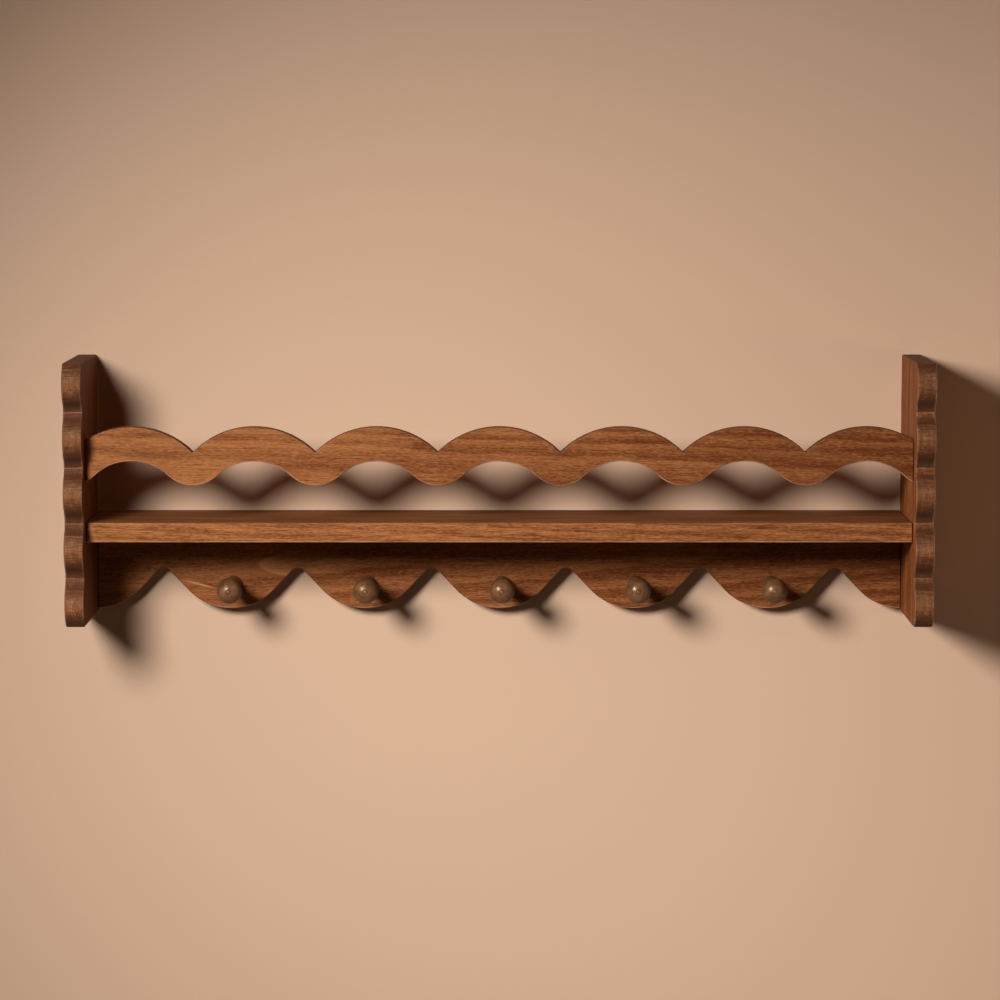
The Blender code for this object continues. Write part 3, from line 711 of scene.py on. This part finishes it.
def draw_wave(bm, strokes, pitch, half_length, origin, along, out):
    """Draws repeated strokes from end to end, with a crest at the origin."""
    axis = out.cross(along)
    vert = None
    reach = math.ceil(half_length / pitch)
    for number in range(-reach, reach + 1):
        for stroke in strokes:
            shift = number * pitch
            start = max(stroke.start + shift, -half_length)
            end = min(stroke.end + shift, half_length)
            if end - start < TINY:
                continue
            share = (end - start) / (stroke.end - stroke.start)
            steps = max(1, round(stroke.steps * share))
            if stroke.sense == 0:
                goal = origin + along * end + out * stroke.height
                begin = vert.co.copy()
                for i in range(steps):
                    vert = line_to(bm, vert, begin.lerp(goal, (i + 1) / steps))
                continue
            middle = shift + stroke.centre
            first, last = (math.asin((p - middle) / stroke.radius) for p in (start, end))
            centre = origin + along * middle + out * stroke.height
            if vert is None:
                lift = stroke.sense * stroke.radius * math.cos(first)
                vert = bm.verts.new(centre + along * (start - middle) + out * lift)
            vert = swing(bm, vert, centre, axis, stroke.sense * (last - first), steps)


def new_verts(made):
    """The vertices that an extrusion made."""
    return [item for item in made["geom"] if isinstance(item, bmesh.types.BMVert)]


def sheet_to_plane(bm, axis, value):
    """Draws the edges out, as a sheet, to the plane where one coordinate has the given value."""
    verts = new_verts(bmesh.ops.extrude_edge_only(bm, edges=bm.edges[:]))
    press = Vector((1.0, 1.0, 1.0))
    press[axis] = 0.0
    shift = Vector((0.0, 0.0, 0.0))
    shift[axis] = -value
    bmesh.ops.scale(bm, vec=press, space=Matrix.Translation(shift), verts=verts)


def thicken(bm, push):
    """Makes a flat sheet a solid board."""
    verts = new_verts(bmesh.ops.extrude_face_region(bm, geom=bm.faces[:]))
    bmesh.ops.translate(bm, verts=verts, vec=push)
    bmesh.ops.recalc_face_normals(bm, faces=bm.faces[:])


def round_arrises(bm, width, segments=3):
    """Rounds over every sharp outer edge and marks the rounding for rubbing and a painted highlight.
    """
    layers = bm.loops.layers.float_vector
    layer = layers.get(EDGE_MARK_LAYER) or layers.new(EDGE_MARK_LAYER)
    joined = [edge for edge in bm.edges if edge.is_manifold]
    made = bmesh.ops.bevel(
        bm,
        geom=[edge for edge in joined if edge.calc_face_angle_signed() > ARRIS_ANGLE],
        offset=width,
        offset_type="OFFSET",
        affect="EDGES",
        segments=segments,
        profile=0.5,
        material=-1,
        clamp_overlap=True,
    )
    for face in made["faces"]:
        for corner in face.loops:
            corner[layer] = ALONG_X


def middle_at(low, high, depth):
    """Middle of a box in X and Z, at a given Y."""
    return Vector(((low.x + high.x) / 2, depth, (low.z + high.z) / 2))


def wall_flats(bm):
    """Faces that lie flat to the wall."""
    return [face for face in bm.faces if face.normal.y > FACES_WALL]


def score(bm, place, normal):
    """Cuts the faces that lie flat to the wall along a plane."""
    flats = wall_flats(bm)
    edges = dict.fromkeys(edge for face in flats for edge in face.edges)
    verts = dict.fromkeys(vert for face in flats for vert in face.verts)
    geom = [*verts, *edges, *flats]
    bmesh.ops.bisect_plane(bm, geom=geom, dist=TINY, plane_co=place, plane_no=normal)


def turn_on_lathe(bm, steps):
    """Turns a drawn outline round the Y axis into a closed solid."""
    bmesh.ops.spin(
        bm,
        geom=bm.verts[:] + bm.edges[:],
        cent=(0.0, 0.0, 0.0),
        axis=TO_ROOM,
        angle=FULL_TURN,
        steps=steps,
        use_merge=True,
    )
    bmesh.ops.remove_doubles(bm, verts=bm.verts[:], dist=TINY)
    bmesh.ops.recalc_face_normals(bm, faces=bm.faces[:])


def draw_slot(bm, centre, width, length, steps=12):
    """Draws an upright slot with round ends in a plane against the wall. Gives its edges."""
    before = set(bm.edges)
    half = width / 2
    straight = (length - width) / 2
    first = bm.verts.new(centre + Vector((half, 0.0, straight)))
    vert = swing(bm, first, centre + UP * straight, TO_ROOM, HALF_TURN, steps)
    vert = line_to(bm, vert, centre + Vector((-half, 0.0, -straight)))
    vert = swing(bm, vert, centre - UP * straight, TO_ROOM, HALF_TURN, steps)
    bm.edges.new((vert, first))
    return [edge for edge in bm.edges if edge not in before]


def push_loop(bm, edges, vec):
    """Extrudes a loop of edges by a vector. Gives the new loop's edges."""
    made = bmesh.ops.extrude_edge_only(bm, edges=edges)
    verts = new_verts(made)
    bmesh.ops.translate(bm, verts=verts, vec=vec)
    drawn = [item for item in made["geom"] if isinstance(item, bmesh.types.BMEdge)]
    return [edge for edge in drawn if all(vert in verts for vert in edge.verts)]


def add_piece(name, bm, material, node):
    """Makes the bmesh an object that rides on the rack in the place of its CAD node."""
    mesh = bpy.data.meshes.new(name)
    bm.to_mesh(mesh)
    bm.free()
    mesh.materials.append(material)
    mesh.shade_smooth()
    mesh.set_sharp_from_angle(angle=SMOOTH_ANGLE)
    piece = bpy.data.objects.new(name, mesh)
    bpy.context.scene.collection.objects.link(piece)
    shading = piece.modifiers.new("flat sides shade flat", "WEIGHTED_NORMAL")
    shading.keep_sharp = True
    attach(piece, "root")
    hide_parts(node)
    return piece


# Pieces. The steps of a wave are the segments in its crest, each flank and its hollow

PANEL_STEPS = (12, 0, 8)
PLATE_LOBE_STEPS = 24
PLATE_ARCH_STEPS = (14, 0, 10)
PEG_RAIL_STEPS = (20, 5, 10)
LOBE_RUB_AND_HIGHLIGHT = 0.008          # height of a peg rail lobe's rubbed part, with its painted highlight
HANGER_FIT = 0.0003       # gap round a keyhole plate, and round its screws
RECESS_MARGIN = 0.003     # part of the back edge that is filled again past a recess
POCKET_PLAY = 0.0016      # width of the pocket past the head of a wall screw


class PLATERACK_OT_end_panels(Operator):
    """Make both end panels, with wavy front edges and hanger recesses in their back edges"""

    bl_idname = "plate_rack.end_panels"
    bl_label = "End Panels"

    def execute(self, context):
        settings = context.scene.plate_rack
        sizes = settings.boards
        pitch, rise = sizes.panel_pitch, sizes.panel_rise
        flank = soft_flank(pitch, rise)
        strokes = wave(pitch, rise, sizes.panel_hollow_radius, flank, PANEL_STEPS)
        for side in SIDES:
            low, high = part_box(f"{side}_end_panel")
            bm = bmesh.new()
            middle = Vector((low.x, low.y, (low.z + high.z) / 2))
            draw_wave(bm, strokes, pitch, (high.z - low.z) / 2, middle, UP, TO_ROOM)
            sheet_to_plane(bm, 1, high.y)
            thicken(bm, ALONG_X * (high.x - low.x))
            round_arrises(bm, sizes.panel_arris)
            self.mark_front(bm, low.y, rise)
            self.sink_hanger(bm, side, settings.hangers)
            wood = stained_pine(f"{side}_panel", settings.finish)
            add_piece(f"{side}_panel_board", bm, wood, f"{side}_end_panel")
        return {"FINISHED"}

    def mark_front(self, bm, crest, rise):
        """Marks the wavy front edge, and how far each corner lies down a hollow."""
        layer = bm.loops.layers.float_vector[EDGE_MARK_LAYER]
        for face in bm.faces:
            if face.normal.y < FACES_ROOM:
                for corner in face.loops:
                    corner[layer].y = 1.0
                    corner[layer].z = (corner.vert.co.y - crest) / rise

    def sink_hanger(self, bm, side, hangers):
        """Sinks the keyhole plate's recess, and the wall screw's pocket, into the back edge."""
        low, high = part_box(f"{side}_keyhole_plate")
        centre = middle_at(low, high, high.y)
        length = high.z - low.z + 2 * HANGER_FIT
        reach = length / 2 + RECESS_MARGIN
        for way in (-1, 1):
            score(bm, centre + UP * way * reach, UP)
        inside = [
            face
            for face in wall_flats(bm)
            if abs(face.calc_center_median().z - centre.z) < reach
        ]
        bmesh.ops.delete(bm, geom=inside, context="FACES")
        rim = [edge for edge in bm.edges if edge.is_boundary]
        mouth = draw_slot(bm, centre, high.x - low.x + 2 * HANGER_FIT, length)
        bmesh.ops.triangle_fill(bm, edges=rim + mouth, use_beauty=True, normal=TO_WALL)
        depth = high.y - low.y + HANGER_FIT
        floor = push_loop(bm, mouth, TO_ROOM * depth)
        width = hangers.head_diameter + POCKET_PLAY
        pocket = draw_slot(bm, centre + TO_ROOM * depth, width, width + hangers.travel)
        bmesh.ops.bridge_loops(bm, edges=floor + pocket)
        bottom = push_loop(bm, pocket, TO_ROOM * (hangers.pocket_depth - depth))
        bmesh.ops.edgeloop_fill(bm, edges=bottom)
        bmesh.ops.recalc_face_normals(bm, faces=bm.faces[:])


class PLATERACK_OT_shelf(Operator):
    """Make the shelf board"""

    bl_idname = "plate_rack.shelf"
    bl_label = "Shelf"

    def execute(self, context):
        settings = context.scene.plate_rack
        low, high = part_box("shelf_board")
        bm = bmesh.new()
        bmesh.ops.create_cube(bm, size=1.0)
        bmesh.ops.scale(bm, vec=high - low, verts=bm.verts)
        bmesh.ops.translate(bm, vec=(low + high) / 2, verts=bm.verts)
        round_arrises(bm, settings.boards.shelf_arris, segments=4)
        wood = stained_pine("shelf", settings.finish)
        add_piece("shelf", bm, wood, "shelf_board")
        return {"FINISHED"}


class PLATERACK_OT_plate_rail(Operator):
    """Make the scalloped plate rail, with round lobes above and soft arches below"""

    bl_idname = "plate_rack.plate_rail"
    bl_label = "Plate Rail"

    def execute(self, context):
        settings = context.scene.plate_rack
        sizes = settings.boards
        low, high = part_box("plate_rail")
        pitch, rise = sizes.plate_rail_pitch, sizes.plate_rail_arch_rise
        bm = bmesh.new()
        strokes = lobes(pitch, sizes.plate_rail_lobe_rise, PLATE_LOBE_STEPS)
        crest = Vector((0.0, low.y, high.z))
        draw_wave(bm, strokes, pitch, high.x, crest, ALONG_X, UP)
        flank = soft_flank(pitch, rise)
        strokes = wave(pitch, rise, sizes.plate_rail_dip_radius, flank, PLATE_ARCH_STEPS)
        arch = Vector((0.0, low.y, low.z + rise))
        draw_wave(bm, strokes, pitch, high.x, arch, ALONG_X, UP)
        bmesh.ops.bridge_loops(bm, edges=bm.edges[:])
        thicken(bm, TO_WALL * (high.y - low.y))
        round_arrises(bm, sizes.plate_rail_arris)
        wood = stained_pine("plate_rail", settings.finish)
        add_piece("scalloped_plate_rail", bm, wood, "plate_rail")
        return {"FINISHED"}


class PLATERACK_OT_peg_rail(Operator):
    """Make the scalloped peg rail under the shelf"""

    bl_idname = "plate_rack.peg_rail"
    bl_label = "Peg Rail"

    def execute(self, context):
        settings = context.scene.plate_rack
        sizes = settings.boards
        low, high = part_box("peg_rail")
        pitch, rise = sizes.peg_rail_pitch, sizes.peg_rail_rise
        notch_radius, flank = sizes.peg_rail_notch_radius, sizes.peg_rail_flank
        bm = bmesh.new()
        strokes = wave(pitch, rise, notch_radius, flank, PEG_RAIL_STEPS)
        lowest = Vector((0.0, low.y, low.z))
        draw_wave(bm, strokes, pitch, high.x, lowest, ALONG_X, DOWN)
        sheet_to_plane(bm, 2, high.z)
        thicken(bm, TO_WALL * (high.y - low.y))
        round_arrises(bm, sizes.peg_rail_arris, segments=4)
        self.mark_lobes(bm, low.z)
        wood = stained_pine("peg_rail", settings.finish)
        add_piece("scalloped_peg_rail", bm, wood, "peg_rail")
        return {"FINISHED"}

    def mark_lobes(self, bm, lowest):
        """Leaves the rubbing and its painted highlight only on the lowest edges of the lobes."""
        layer = bm.loops.layers.float_vector[EDGE_MARK_LAYER]
        for face in bm.faces:
            for corner in face.loops:
                lift = corner.vert.co.z - lowest
                corner[layer].x *= max(0.0, 1.0 - lift / LOBE_RUB_AND_HIGHLIGHT)


# A peg's grooves. The fine ones also have their angle from the tip
MARK_GROOVE = (0.065, 0.0004)  # half width as an angle, and depth
FINE_GROOVES = ((0.5, 0.03, 0.0001), (0.85, 0.03, 0.0001))
PEG_STEPS = 64


class PLATERACK_OT_pegs(Operator):
    """Turn the five pegs, with domed heads, slim necks and the lathe's centre mark"""

    bl_idname = "plate_rack.pegs"
    bl_label = "Pegs"

    def execute(self, context):
        settings = context.scene.plate_rack
        wood = waxed_peg_wood(settings.pegs, settings.finish)
        rail_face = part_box("peg_rail")[0].y
        names = (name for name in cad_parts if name.rstrip("0123456789") == "peg_")
        for name in sorted(names):
            low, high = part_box(name)
            bm = bmesh.new()
            self.draw_profile(bm, settings.pegs, (high.x - low.x) / 2, rail_face - low.y)
            turn_on_lathe(bm, PEG_STEPS)
            layer = bm.verts.layers.float_vector.new(TURNED_LAYER)
            for vert in bm.verts:
                vert[layer] = vert.co
            bmesh.ops.translate(bm, verts=bm.verts[:], vec=middle_at(low, high, rail_face))
            add_piece(f"turned_{name}", bm, wood, name)
        return {"FINISHED"}

    def draw_profile(self, bm, sizes, head, length):
        """Draws half of a peg's outline, from its tip to its seat, with its seat at the origin."""
        widest = length - sizes.dome_length
        middle = TO_ROOM * widest
        # A dome of round strokes, broken by the centre mark and two fine grooves
        mark = math.asin(sizes.centre_mark / 2 / head)
        vert = bm.verts.new(middle + TO_ROOM * head)
        turned = 0.0
        for angle, half_width, depth in ((mark, *MARK_GROOVE), *FINE_GROOVES):
            vert = swing(bm, vert, middle, UP, angle - half_width - turned, steps=5)
            turned = angle + half_width
            for bearing, radius in ((angle, head - depth), (turned, head)):
                ray = Matrix.Rotation(bearing, 3, UP) @ TO_ROOM
                vert = line_to(bm, vert, middle + ray * radius)
        vert = swing(bm, vert, middle, UP, QUARTER_TURN - turned, steps=8)
        squash = (1.0, sizes.dome_length / head, 1.0)
        bmesh.ops.scale(bm, vec=squash, space=Matrix.Translation(-middle), verts=bm.verts[:])
        # The back of the head sweeps in to the neck, and the neck swells to the base
        neck = sizes.neck_diameter / 2
        base = sizes.base_diameter / 2
        for start, end, run, steps in (
            (head, neck, widest - sizes.neck_set, 9),
            (neck, base, sizes.neck_set, 4),
        ):
            angle = 2 * math.atan((start - end) / run)
            radius = run / 2 / math.sin(angle)
            centre = vert.co - ALONG_X * radius
            vert = swing(bm, vert, centre, UP, angle, steps)
            centre = vert.co + (vert.co - centre)
            vert = swing(bm, vert, centre, UP, -angle, steps)
        line_to(bm, vert, Vector((0.0, 0.0, 0.0)))


SCREW_HOLE_STEPS = 24
SEARCH_SLACK = 0.0001            # how far past a screw hole its own vertices are looked for
COUNTERSINK = (0.55, 1.0, 0.55)  # a screw hole's width at its bottom
PLATE_ARRIS = 0.0003


class PLATERACK_OT_keyhole_plates(Operator):
    """Make the two keyhole plates in the back edges of the end panels"""

    bl_idname = "plate_rack.keyhole_plates"
    bl_label = "Keyhole Plates"

    def execute(self, context):
        settings = context.scene.plate_rack
        sizes = settings.hangers
        steel = zinc_plated_steel(settings.finish)
        hole = sizes.screw_diameter / 2 + HANGER_FIT
        upright = Matrix.Rotation(QUARTER_TURN, 4, "X")
        for side in SIDES:
            low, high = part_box(f"{side}_keyhole_plate")
            centre = middle_at(low, high, high.y)
            length = high.z - low.z
            bm = bmesh.new()
            draw_slot(bm, centre, high.x - low.x, length)
            self.draw_keyhole(bm, centre, sizes)
            seats = [centre + UP * way * (length / 2 - sizes.screw_inset) for way in (-1, 1)]
            for seat in seats:
                place = Matrix.Translation(seat) @ upright
                bmesh.ops.create_circle(bm, segments=SCREW_HOLE_STEPS, radius=hole, matrix=place)
            bmesh.ops.triangle_fill(bm, edges=bm.edges[:], use_beauty=True, normal=TO_WALL)
            thicken(bm, TO_ROOM * (high.y - low.y))
            # Screw holes are countersunk from the wall side
            inner = [vert for vert in bm.verts if vert.co.y < high.y - TINY]
            for seat in seats:
                reach = hole + SEARCH_SLACK
                ring = [vert for vert in inner if (vert.co - seat).xz.length < reach]
                bmesh.ops.scale(bm, vec=COUNTERSINK, space=Matrix.Translation(-seat), verts=ring)
            round_arrises(bm, PLATE_ARRIS, segments=2)
            add_piece(f"{side}_hanger_plate", bm, steel, f"{side}_keyhole_plate")
        return {"FINISHED"}

    def draw_keyhole(self, bm, centre, sizes):
        """Draws the round hole and the narrow slot above it."""
        head = sizes.head_diameter / 2
        half_slot = sizes.slot_width / 2
        low = centre - UP * sizes.travel / 2
        high = centre + UP * sizes.travel / 2
        mouth = math.acos(half_slot / head)
        first = bm.verts.new(low + Vector((-half_slot, 0.0, head * math.sin(mouth))))
        vert = swing(bm, first, low, TO_ROOM, HALF_TURN + 2 * mouth, steps=24)
        vert = line_to(bm, vert, high + ALONG_X * half_slot)
        vert = swing(bm, vert, high, TO_ROOM, HALF_TURN, steps=10)
        bm.edges.new((vert, first))


SCREW_STEPS = 32
SCREW_RIM = 0.0002             # the head's edge is broken this far
SCREW_POINT = 0.003            # length of the point
CROSS_ARM = 0.62               # sizes of the driver's cross, as shares of the head's radius
CROSS_HALF_WIDTH = 0.14
CROSS_DEPTH = 0.5
CROSS_TAPER = (0.6, 1.0, 0.6)


class PLATERACK_OT_keyhole_screws(Operator):
    """Make the countersunk cross-head screws of the keyhole plates"""

    bl_idname = "plate_rack.keyhole_screws"
    bl_label = "Keyhole Screws"

    def execute(self, context):
        steel = zinc_plated_steel(context.scene.plate_rack.finish)
        for name in sorted(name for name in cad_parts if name.startswith("keyhole_screw_")):
            low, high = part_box(name)
            head = (high.x - low.x) / 2
            shank = head / 2
            length = high.y - low.y
            bm = bmesh.new()
            vert = bm.verts.new((0.0, 0.0, 0.0))
            for radius, depth in (
                (head - SCREW_RIM, 0.0),
                (head, SCREW_RIM),
                (shank, head - shank + SCREW_RIM),
                (shank, length - SCREW_POINT),
                (0.0, length),
            ):
                vert = line_to(bm, vert, Vector((radius, -depth, 0.0)))
            turn_on_lathe(bm, SCREW_STEPS)
            self.sink_cross(bm, head)
            bmesh.ops.translate(bm, verts=bm.verts[:], vec=middle_at(low, high, high.y))
            label = name.removeprefix("keyhole_")
            add_piece(f"hanger_{label}", bm, steel, name)
        return {"FINISHED"}

    def sink_cross(self, bm, head):
        """Sinks the driver's cross into the flat of the head."""
        arm = head * CROSS_ARM
        half_width = head * CROSS_HALF_WIDTH
        for normal in (ALONG_X, UP):
            for reach in (-arm, -half_width, half_width, arm):
                score(bm, normal * reach, normal)
        cross = []
        for face in wall_flats(bm):
            middle = face.calc_center_median()
            small, large = sorted((abs(middle.x), abs(middle.z)))
            if small < half_width and large < arm:
                cross.append(face)
        floor = new_verts(bmesh.ops.extrude_face_region(bm, geom=cross))
        left_over = [face for face in cross if face.is_valid]
        bmesh.ops.delete(bm, geom=left_over, context="FACES_ONLY")
        bmesh.ops.translate(bm, verts=floor, vec=TO_ROOM * head * CROSS_DEPTH)
        bmesh.ops.scale(bm, vec=CROSS_TAPER, verts=floor)


class PLATERACK_OT_dowels(Operator):
    """Give the hidden dowels their bare wood"""

    bl_idname = "plate_rack.dowels"
    bl_label = "Dowels"

    def execute(self, context):
        wood = bare_beech(context.scene.plate_rack.finish)
        for name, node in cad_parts.items():
            if "_dowel_" in name:
                node.material_slots[0].material = wood
        return {"FINISHED"}


# Stage

WALL_GAP = 0.0004              # keeps the rack's back clear of the studio wall
FLOOR_GLOW = 0.8               # share of its colour that the floor shows where no lamp reaches
SENSOR_WIDTH = 36.0            # millimetres
SIDE_LAMP_PLACE = (1.2, -0.22, 0.11)
BACK_LAMP_PLACE = (0.0, 0.8)   # behind the wall, at the middle of the rack's height
RIGHT_LAMP_PLACE = (1.7, 0.2)
KEY_SPREAD = math.radians(90)
BACK_SPREAD = math.radians(60)


class PLATERACK_OT_studio(Operator):
    """Set the camera, the lamps, the wall and the floor"""

    bl_idname = "plate_rack.studio"
    bl_label = "Studio"

    def execute(self, context):
        scene = context.scene
        studio = scene.plate_rack.studio
        scene.view_settings.view_transform = "Standard"
        self.add_camera(scene, studio)
        self.add_lamps(scene, studio)
        upright = Matrix.Rotation(QUARTER_TURN, 4, "X")
        height = (CAD_BOX[0].z + CAD_BOX[1].z) / 2
        wall = studio_paint("matt_wall_paint", studio.wall, 0.0)
        place = Matrix.Translation((0.0, WALL_GAP, height)) @ upright
        self.add_plane(scene, "studio_wall", wall, studio.wall_size, place)
        floor = studio_paint("matt_floor_paint", studio.floor, FLOOR_GLOW)
        place = Matrix.Translation((0.0, 0.0, studio.floor_height))
        self.add_plane(scene, "studio_floor", floor, studio.floor_size, place)
        self.light_world(scene)
        return {"FINISHED"}

    def add_camera(self, scene, studio):
        """Sets the camera where the fit to the photograph puts it."""
        data = bpy.data.cameras.new("photo_camera")
        data.lens = studio.camera_lens
        data.sensor_width = SENSOR_WIDTH
        camera = bpy.data.objects.new("photo_camera", data)
        camera.location = studio.camera_place
        camera.rotation_euler = (QUARTER_TURN - studio.camera_pitch, 0.0, 0.0)
        scene.collection.objects.link(camera)
        scene.camera = camera

    def add_lamps(self, scene, studio):
        """Sets the soft key lamp, a warm side lamp, and two that light the back and right views."""
        middle = (CAD_BOX[0] + CAD_BOX[1]) / 2
        key = {"energy": studio.key_power, "size": studio.key_size, "spread": KEY_SPREAD}
        side = {
            "energy": 1.1,
            "size": 0.15,
            "color": linear("#ffe2c4")[:3],
            "specular_factor": 0.0,
        }
        back = {
            "shape": "RECTANGLE",
            "energy": 1.5,
            "size": 1.1,
            "size_y": 0.4,
            "spread": BACK_SPREAD,
        }
        right = {"energy": 1.5, "size": 0.3, "spread": BACK_SPREAD}
        for name, place, aim, light in (
            ("key_lamp", studio.key_place, studio.key_aim, key),
            ("side_lamp", SIDE_LAMP_PLACE, middle, side),
            ("back_lamp", (*BACK_LAMP_PLACE, middle.z), middle, back),
            ("right_lamp", (*RIGHT_LAMP_PLACE, middle.z), middle, right),
        ):
            data = bpy.data.lights.new(name, "AREA")
            data.shape = "DISK"
            for setting, value in light.items():
                setattr(data, setting, value)
            lamp = bpy.data.objects.new(name, data)
            lamp.location = place
            lamp.rotation_euler = (Vector(aim) - Vector(place)).to_track_quat("-Z", "Y").to_euler()
            lamp.visible_camera = False
            scene.collection.objects.link(lamp)

    def add_plane(self, scene, name, material, size, matrix):
        """Adds a square of the stage."""
        mesh = bpy.data.meshes.new(name)
        bm = bmesh.new()
        bmesh.ops.create_grid(bm, x_segments=1, y_segments=1, size=size / 2, matrix=matrix)
        bm.to_mesh(mesh)
        bm.free()
        mesh.materials.append(material)
        plane = bpy.data.objects.new(name, mesh)
        scene.collection.objects.link(plane)

    def light_world(self, scene):
        """Dim soft light from all round, and a pale ground where the view passes the wall."""
        world = bpy.data.worlds.new("studio_world")
        scene.world = world
        add = empty_tree(world)
        dim = add("Background", {"Color": linear("#ffcfa0"), "Strength": 0.025})
        pale = add("Background", {"Color": linear("#e9e2d9"), "Strength": 1.0})
        add("OutputWorld", [add("MixShader", [in_view(add), dim, pale])])


OPERATORS = (
    PLATERACK_OT_end_panels,
    PLATERACK_OT_shelf,
    PLATERACK_OT_plate_rail,
    PLATERACK_OT_peg_rail,
    PLATERACK_OT_pegs,
    PLATERACK_OT_keyhole_plates,
    PLATERACK_OT_keyhole_screws,
    PLATERACK_OT_dowels,
    PLATERACK_OT_studio,
)
GROUPS = (PlateRackBoards, PlateRackPegs, PlateRackHangers, PlateRackFinish, PlateRackStudio)


class PLATERACK_PT_sidebar(Panel):
    """Settings and pieces of the plate rack"""

    bl_idname = "PLATERACK_PT_sidebar"
    bl_label = "Plate Rack"
    bl_space_type = "VIEW_3D"
    bl_region_type = "UI"
    bl_category = "Plate Rack"

    def draw(self, context):
        layout = self.layout
        for operator in OPERATORS:
            layout.operator(operator.bl_idname)
        settings = context.scene.plate_rack
        for group in PlateRackSettings.__annotations__:
            box = layout.box()
            box.label(text=group.capitalize())
            values = getattr(settings, group)
            for name in values.__annotations__:
                box.prop(values, name)


CLASSES = (*GROUPS, PlateRackSettings, *OPERATORS, PLATERACK_PT_sidebar)


def register():
    for cls in CLASSES:
        bpy.utils.register_class(cls)
    bpy.types.Scene.plate_rack = PointerProperty(type=PlateRackSettings)


def unregister():
    del bpy.types.Scene.plate_rack
    for cls in reversed(CLASSES):
        bpy.utils.unregister_class(cls)


def main():
    """Makes every piece and the stage."""
    register()
    bpy.ops.plate_rack.end_panels()
    bpy.ops.plate_rack.shelf()
    bpy.ops.plate_rack.plate_rail()
    bpy.ops.plate_rack.peg_rail()
    bpy.ops.plate_rack.pegs()
    bpy.ops.plate_rack.keyhole_plates()
    bpy.ops.plate_rack.keyhole_screws()
    bpy.ops.plate_rack.dowels()
    bpy.ops.plate_rack.studio()


if __name__ == "__main__":
    main()
